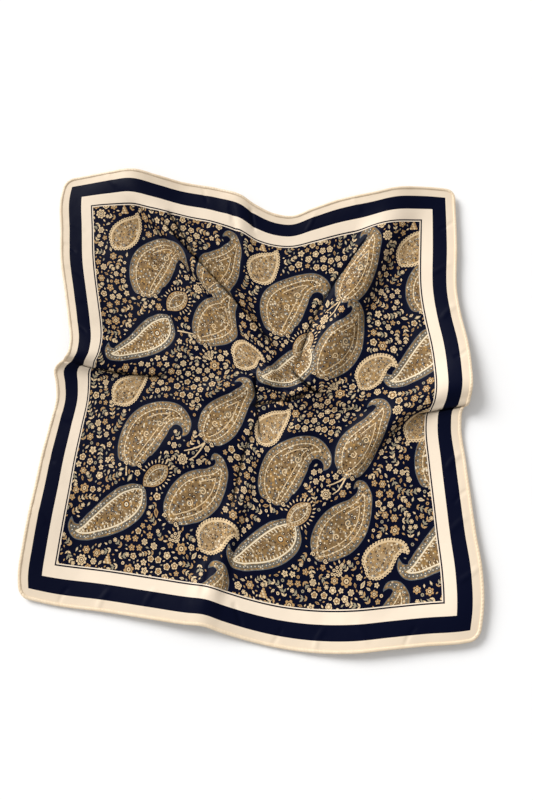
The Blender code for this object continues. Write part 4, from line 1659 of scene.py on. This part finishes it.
@dataclass
class PrintedCloth:
    """The printed panel as a thin shell: its face with the print inlaid, and its reverse."""

    form: ClothForm
    shapes: Sequence[Shape]
    edge_inset: float = 2.2
    cloth_thickness: float = 0.3
    border_spacing: float = 4.2
    field_spacing: float = 4.4
    tucked_rows: Pair = (1.7, 1.25)  # distance between points along a crease, and across it
    narrow_rows: Pair = (2.5, 2.0)
    narrow: float = 5.0
    keep_clear: int = 1

    def _plain_points(self, taken: Array) -> Array:
        """Points that keep the mesh even where the print has none near.

        Args:
            taken: the points of the print's shapes.

        Returns:
            The points on the flat cloth.
        """
        border = np.arange(self.edge_inset + 2, CUT - self.edge_inset - 1, self.border_spacing)
        across, down = (a.ravel() for a in np.meshgrid(border, border))
        inside = np.minimum.reduce([across, CUT - across, down, CUT - down])
        rim = np.stack([across, down], -1)[(inside < FIELD_INSET - 1) & (inside > 5)]
        inner = np.arange(FIELD_INSET + 2, CUT - FIELD_INSET - 1, self.field_spacing)
        across, down = (a.ravel() for a in np.meshgrid(inner, inner))
        points = np.concatenate([self._crease_points(), rim, np.stack([across, down], -1)])
        last = int(CUT) + 1
        crowded = np.zeros((last + 1, last + 1), bool)
        columns, rows = np.round(taken).astype(int).T
        for dx in range(-self.keep_clear, self.keep_clear + 1):
            for dy in range(-self.keep_clear, self.keep_clear + 1):
                crowded[np.clip(rows + dy, 0, last), np.clip(columns + dx, 0, last)] = True
        columns, rows = np.round(points).astype(int).T
        return points[~crowded[rows, columns]]

    def _crease_points(self) -> Array:
        """Points in rows along the tucked and the narrow creases, close enough to bend smoothly.

        Returns:
            The points on the flat cloth.
        """
        rows = []
        for crease in self.form.creases:
            if not crease.tuck and crease.reach > self.narrow:
                continue
            spacing, apart = self.tucked_rows if crease.tuck else self.narrow_rows
            ends = np.array([crease.start, crease.middle, crease.end], float)
            t = np.linspace(0, 1, 2 + int(np.linalg.norm(ends[2] - ends[0]) / spacing))
            line = np.stack([ClothForm.through_three(t, *axis) for axis in ends.T], -1)
            side = unit(right_of(np.gradient(line, axis=0)))
            for away in np.arange(-crease.reach, crease.reach + 1, apart):
                rows.append(line + away * side)
        points = np.concatenate(rows)
        inside = np.minimum(points, CUT - points).min(axis=1)
        return points[inside > self.edge_inset + 2]

    def _bands(self) -> list[Shape]:
        """The cloth and its borders, from the edge to the field.

        Returns:
            The shapes, the whole cloth first.
        """
        bands = [Shape(rounded_square(self.edge_inset, 2.6), Ink.EDGE_CREAM)]
        for inset, ink in (
            (OUTER_BAND, Ink.NAVY), (OUTER_BAND + DARK_BAND, Ink.CREAM),
            (LINE_INSET, Ink.LINE), (LINE_INSET + LINE_WIDTH, Ink.CREAM), (FIELD_INSET, Ink.NAVY),
        ):
            side = np.linspace(inset, CUT - inset, int((CUT - 2 * inset) / 4.0) + 1)
            low, high = np.full(len(side) - 1, inset), np.full(len(side) - 1, CUT - inset)
            bands.append(Shape(np.concatenate([
                np.stack([side[:-1], low], -1), np.stack([high, side[:-1]], -1),
                np.stack([side[:0:-1], high], -1), np.stack([low, side[:0:-1]], -1),
            ]), ink))
        return bands

    def _triangulate(self) -> tuple[Array, Array, list[Ink]]:
        """Cuts the flat cloth into triangles of one ink each.

        Returns:
            The points on the flat cloth, the triangles and each triangle's ink.
        """
        bands = self._bands()
        shapes = bands + list(self.shapes)
        points, faces, sizes = [], [], []
        count = 0
        for shape in shapes:
            loop = shape.points
            ahead = np.roll(loop, -1, axis=0)
            doubled = (loop[:, 0] * ahead[:, 1] - ahead[:, 0] * loop[:, 1]).sum()
            sizes.append(abs(doubled) / 2)
            points.append(loop[::-1] if doubled < 0 else loop)
            faces.append(list(range(count, count + len(loop))))
            count += len(loop)
        points.append(self._plain_points(np.concatenate(points)))
        flat = [Vector(point) for point in np.concatenate(points).tolist()]
        LOG.info("%d points go into the inlay", len(flat))
        made, _, triangles, _, _, origins = delaunay_2d_cdt(flat, [], faces, 1, 1e-4, True)
        made, triangles = np.array([tuple(v) for v in made]), np.array(triangles)
        sides = made[triangles[:, 1:]] - made[triangles[:, :1]]
        areas = np.abs(sides[:, 0, 0] * sides[:, 1, 1] - sides[:, 0, 1] * sides[:, 1, 0]) / 2
        filled = np.zeros(len(shapes))
        for origin, area in zip(origins, areas):
            filled[origin] += area
        # A loop that crosses itself may be filled outside instead of inside: it is left out.
        spilt = set(np.flatnonzero(filled > 1.5 * np.array(sizes) + 2.0).tolist())
        LOG.info("%d loops are left out: %s", len(spilt), sorted(spilt)[:12])
        field_band = len(bands) - 1
        kept, inks = [], []
        for k, origin in enumerate(origins):
            if 0 in origin:
                inside = field_band in origin
                top = max(o for o in origin if o not in spilt and (inside or o <= field_band))
                kept.append(k)
                inks.append(shapes[top].ink)
        triangles = triangles[kept]
        used = np.unique(triangles)
        place = np.zeros(len(made), int)
        place[used] = np.arange(len(used))
        return made[used], place[triangles], inks

    def build(self, face: bpy.types.Material, back: bpy.types.Material) -> list[bpy.types.Object]:
        """Builds the printed face and the reverse.

        Args:
            face: the printed side's finish.
            back: the reverse side's finish.

        Returns:
            The two pieces, the face first.
        """
        flat, triangles, inks = self._triangulate()
        middle, normals = self.form.place(flat[:, 0], flat[:, 1])
        flat_uv = np.stack([flat[:, 0] / CUT, 1 - flat[:, 1] / CUT], -1)
        colours = np.array([ink.linear() for ink in inks], np.float32)
        # painted shade beside the tucked creases, kept on each point for the finish to darken the colour
        painted_shade_share = self.form.painted_shade_share(flat[:, 0], flat[:, 1]).astype(np.float32)
        pieces = []
        for name, finish, sink, corners, outward in (
            ("printed_face", face, 0.0, triangles[:, ::-1], normals),
            ("plain_reverse", back, self.cloth_thickness, triangles, -normals),
        ):
            mesh = bpy.data.meshes.new(name)
            mesh.from_pydata(((middle - sink * normals) * MM).tolist(), [], corners.tolist())
            uv = mesh.uv_layers.new(name="OFBake")
            uv.data.foreach_set("uv", flat_uv[corners.ravel()].ravel())
            layer = mesh.color_attributes.new("ink", "FLOAT_COLOR", "CORNER")
            layer.data.foreach_set("color", np.repeat(colours, 3, axis=0).ravel())
            light = mesh.attributes.new("painted_shade_share", "FLOAT", "POINT")
            light.data.foreach_set("value", painted_shade_share)
            mesh.shade_smooth()
            mesh.normals_split_custom_set_from_vertices(outward.tolist())
            pieces.append(new_piece(name, mesh, finish))
        return pieces


class Side(Enum):
    """The scarf's four edges, in order round it."""

    FAR = 0
    RIGHT = 1
    NEAR = 2
    LEFT = 3


@dataclass
class RolledHem:
    """The hem: each edge rolled over the reverse and caught with slanted stitches."""

    form: ClothForm
    inset: float = 1.55
    width: float = 1.75  # half of the roll's width
    height: float = 0.9  # half of its height
    seat: float = 0.68  # how far its middle sinks from there
    floor_gap: float = 0.05
    step: float = 0.8
    sides: int = 12
    stitch_pitch: float = 3.9
    stitch_slant: float = 0.75
    stitch_reach: float = 1.25  # half of a stitch's length
    pucker: float = 0.24
    thread: float = 0.24

    def __post_init__(self) -> None:
        """Works out the hem's middle line, its outward and upward directions, right round the scarf."""
        self.loop = rounded_square(self.inset, self.step)
        places, normals = self.form.place(self.loop[:, 0], self.loop[:, 1])
        ahead = unit(np.roll(places, -1, axis=0) - np.roll(places, 1, axis=0))
        self.outward = unit(np.cross(normals, ahead))
        self.upward = np.cross(ahead, self.outward)
        self.run = np.arange(len(self.loop)) * self.step
        rise = self.height - self.seat + 0.1 * np.sin(self.run / 5.3) + 0.08 * np.sin(self.run / 2.1 + 1)
        self.places = places + self.upward * rise[:, None]
        low = self.places[:, 2] - self.height
        self.places[:, 2] += np.maximum(self.floor_gap - low, 0.0)

    def _roll(self, side: Side, finish: bpy.types.Material) -> bpy.types.Object:
        """One edge's roll, from the middle of one rounded corner to the next.

        Args:
            side: the edge.
            finish: its material.

        Returns:
            The piece.
        """
        first, last = (
            int(np.argmin(np.hypot(self.loop[:, 0] - x, self.loop[:, 1] - y)))
            for x, y in (((0, 0), (CUT, 0), (CUT, CUT), (0, CUT))[(side.value + k) % 4] for k in (0, 1))
        )
        if last <= first:
            last += len(self.loop)
        roll = bmesh.new()
        columns = last + 1 - first
        bmesh.ops.create_grid(roll, x_segments=columns - 1, y_segments=self.sides, size=0.5)
        for vertex in roll.verts:
            at = first + round((vertex.co.x + 0.5) * (columns - 1))
            angle = -(vertex.co.y + 0.5) * 2 * math.pi
            cos, sin = math.cos(angle), math.sin(angle)
            along = at * self.step + self.stitch_slant * self.width * cos
            phase = 2 * math.pi * along / self.stitch_pitch
            swell = 1.0 + self.pucker * (math.sin(phase) if sin > -0.3 else 0.0)
            at %= len(self.loop)
            place = self.places[at] + self.outward[at] * (self.width * cos * (0.97 + 0.03 * swell))
            vertex.co = (place + self.upward[at] * (self.height * sin * swell)) * MM
        bmesh.ops.remove_doubles(roll, verts=roll.verts, dist=1e-6)
        rim = [edge for edge in roll.edges if edge.is_boundary]
        bmesh.ops.holes_fill(roll, edges=rim, sides=self.sides + 2)
        bmesh.ops.recalc_face_normals(roll, faces=roll.faces)
        name = f"rolled_hem_{side.name.lower()}"
        mesh = bpy.data.meshes.new(name)
        roll.to_mesh(mesh)
        roll.free()
        mesh.shade_smooth()
        return new_piece(name, mesh, finish)

    def _stitches(self, finish: bpy.types.Material) -> bpy.types.Object:
        """The slanted catch stitches all round, as one mesh.

        Args:
            finish: its material.

        Returns:
            The piece.
        """
        template = bmesh.new()
        bmesh.ops.create_uvsphere(template, u_segments=6, v_segments=6, radius=1.0)
        bmesh.ops.triangulate(template, faces=template.faces)
        template.verts.ensure_lookup_table()
        shape = np.array([v.co[:] for v in template.verts])
        corners = np.array([[v.index for v in face.verts] for face in template.faces])
        template.free()
        points, faces = [], []
        for k in range(int(self.run[-1] / self.stitch_pitch)):
            at = int((k + 0.5) * self.stitch_pitch / self.step) % len(self.loop)
            outward, upward = self.outward[at], self.upward[at]
            ahead = np.cross(outward, upward)
            slant = -0.62 + 0.12 * math.sin(2.3 * k)
            along = ahead * math.sin(slant) - outward * math.cos(slant)
            across = ahead * math.cos(slant) + outward * math.sin(slant)
            # The thread lies bowed over the roll's inner shoulder.
            place = self.places[at] - outward * (0.55 * self.width) + upward * (0.62 * self.height)
            tilt = along - 0.62 * upward
            tilt /= np.linalg.norm(tilt)
            bow = shape[:, 2:] - 0.5 * shape[:, :1] ** 2
            body = (
                shape[:, :1] * tilt * self.stitch_reach
                + shape[:, 1:2] * across * self.thread
                + bow * np.cross(tilt, across) * self.thread * 0.8
            )
            faces.append(corners + len(shape) * k)
            points.append(place + body)
        LOG.info("%d stitches are sewn", len(points))
        mesh = bpy.data.meshes.new("hem_stitches")
        mesh.from_pydata((np.concatenate(points) * MM).tolist(), [], np.concatenate(faces).tolist())
        mesh.shade_smooth()
        return new_piece("hem_stitches", mesh, finish)

    def build(
        self, roll: bpy.types.Material, thread: bpy.types.Material
    ) -> tuple[list[bpy.types.Object], bpy.types.Object]:
        """Builds the four rolls and the stitches.

        Args:
            roll: the roll's finish.
            thread: the sewing thread's finish.

        Returns:
            The rolls in the order of Side, and the stitches.
        """
        return [self._roll(side, roll) for side in Side], self._stitches(thread)


# ---------------------------------------------------------------- the studio


@dataclass
class Studio:
    """The plain floor, the soft lights and the camera at the photograph's angle."""

    target: tuple[float, float, float] = (0.0186, -0.0109, 0.005)
    toward: tuple[float, float, float] = (0.10, -0.27, 0.9577)
    distance: float = 0.895
    roll: float = -0.035
    lens: float = 35.0
    floor_side: float = 8.0

    def _floor(self) -> None:
        """A wide pale floor."""
        made = bmesh.new()
        bmesh.ops.create_grid(made, x_segments=2, y_segments=2, size=self.floor_side / 2)
        mesh = bpy.data.meshes.new("studio_floor")
        made.to_mesh(mesh)
        made.free()
        paint = bpy.data.materials.new("studio_white")
        paint.use_nodes = True
        feed(paint.node_tree.nodes["Principled BSDF"], {
            "Base Color": (0.98, 0.98, 0.98, 1.0), "Roughness": 0.9, "Specular IOR Level": 0.0,
        })
        new_piece("studio_floor", mesh, paint)

    @staticmethod
    def _sun(name: str, toward: Sequence[float], spread: float, strength: float) -> None:
        """A soft light from one direction.

        Args:
            name: its name.
            toward: the direction it comes from.
            spread: how wide it looks, in degrees.
            strength: how strong it is.
        """
        light = bpy.data.lights.new(name, "SUN")
        light.angle, light.energy = math.radians(spread), strength
        linked(name, light).rotation_euler = Vector(toward).to_track_quat("Z", "Y").to_euler()

    def _camera(self) -> None:
        """The camera, turned as the photograph is."""
        toward = Vector(self.toward).normalized()
        forward = -toward
        right = forward.cross(Vector((math.sin(self.roll), math.cos(self.roll), 0.0))).normalized()
        up = right.cross(forward)
        lens = bpy.data.cameras.new("photo_camera")
        lens.lens, lens.sensor_width, lens.sensor_fit = self.lens, 36.0, "AUTO"
        lens.clip_start = 0.01
        camera = linked("photo_camera", lens)
        turn = Matrix((right, up, -forward)).transposed().to_4x4()
        camera.matrix_world = Matrix.Translation(Vector(self.target) + self.distance * toward) @ turn
        bpy.context.scene.camera = camera

    def build(self) -> None:
        """Sets up the floor, the lights, the surroundings and the camera."""
        self._floor()
        self._sun("key", (-0.60, 0.55, 0.60), 28.0, 2.45)
        self._sun("low", (-0.72, 0.50, 0.27), 48.0, 1.0)
        world = bpy.data.worlds.new("studio_air")
        world.use_nodes = True
        feed(world.node_tree.nodes["Background"], {"Color": (1.0, 0.99, 0.98, 1.0), "Strength": 0.5})
        bpy.context.scene.world = world
        bpy.context.scene.view_settings.view_transform = "Standard"
        self._camera()


def main() -> None:
    """Builds the scarf and the studio in order, hides the solids that the pieces stand in for, and hangs
    the pieces on the root body.
    """
    logging.basicConfig(level=logging.INFO, format="%(name)s: %(message)s")
    Studio().build()
    form = ClothForm()
    LOG.info("the cloth's form is worked out")
    shapes = PrintDesign().lay()
    LOG.info("%d shapes are laid on the field", len(shapes))
    weave, speckle = NodeGroups.weave(), NodeGroups.speckle()
    face = SatinFinish("printed_satin", 0.42, 0.02, 0.0, 0.0, 0.7).material(weave, speckle)
    back = SatinFinish("satin_reverse", 0.55, 0.03, 0.18, 0.38, 0.7).material(weave, speckle)
    hem_satin = RollFinish("hem_satin", 0.45, 0.03, (241, 221, 193)).material(weave)
    thread = RollFinish("hem_thread", 0.5, 0.02, (236, 214, 184)).material(weave)
    printed, reverse = PrintedCloth(form, shapes).build(face, back)
    rolls, stitches = RolledHem(form).build(hem_satin, thread)
    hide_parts("printed_square")
    for side, roll in zip(Side, rolls):
        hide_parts(f"hem_{side.name.lower()}")
    for piece in (printed, reverse, *rolls, stitches):
        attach(piece, "root")


if __name__ == "__main__":
    main()
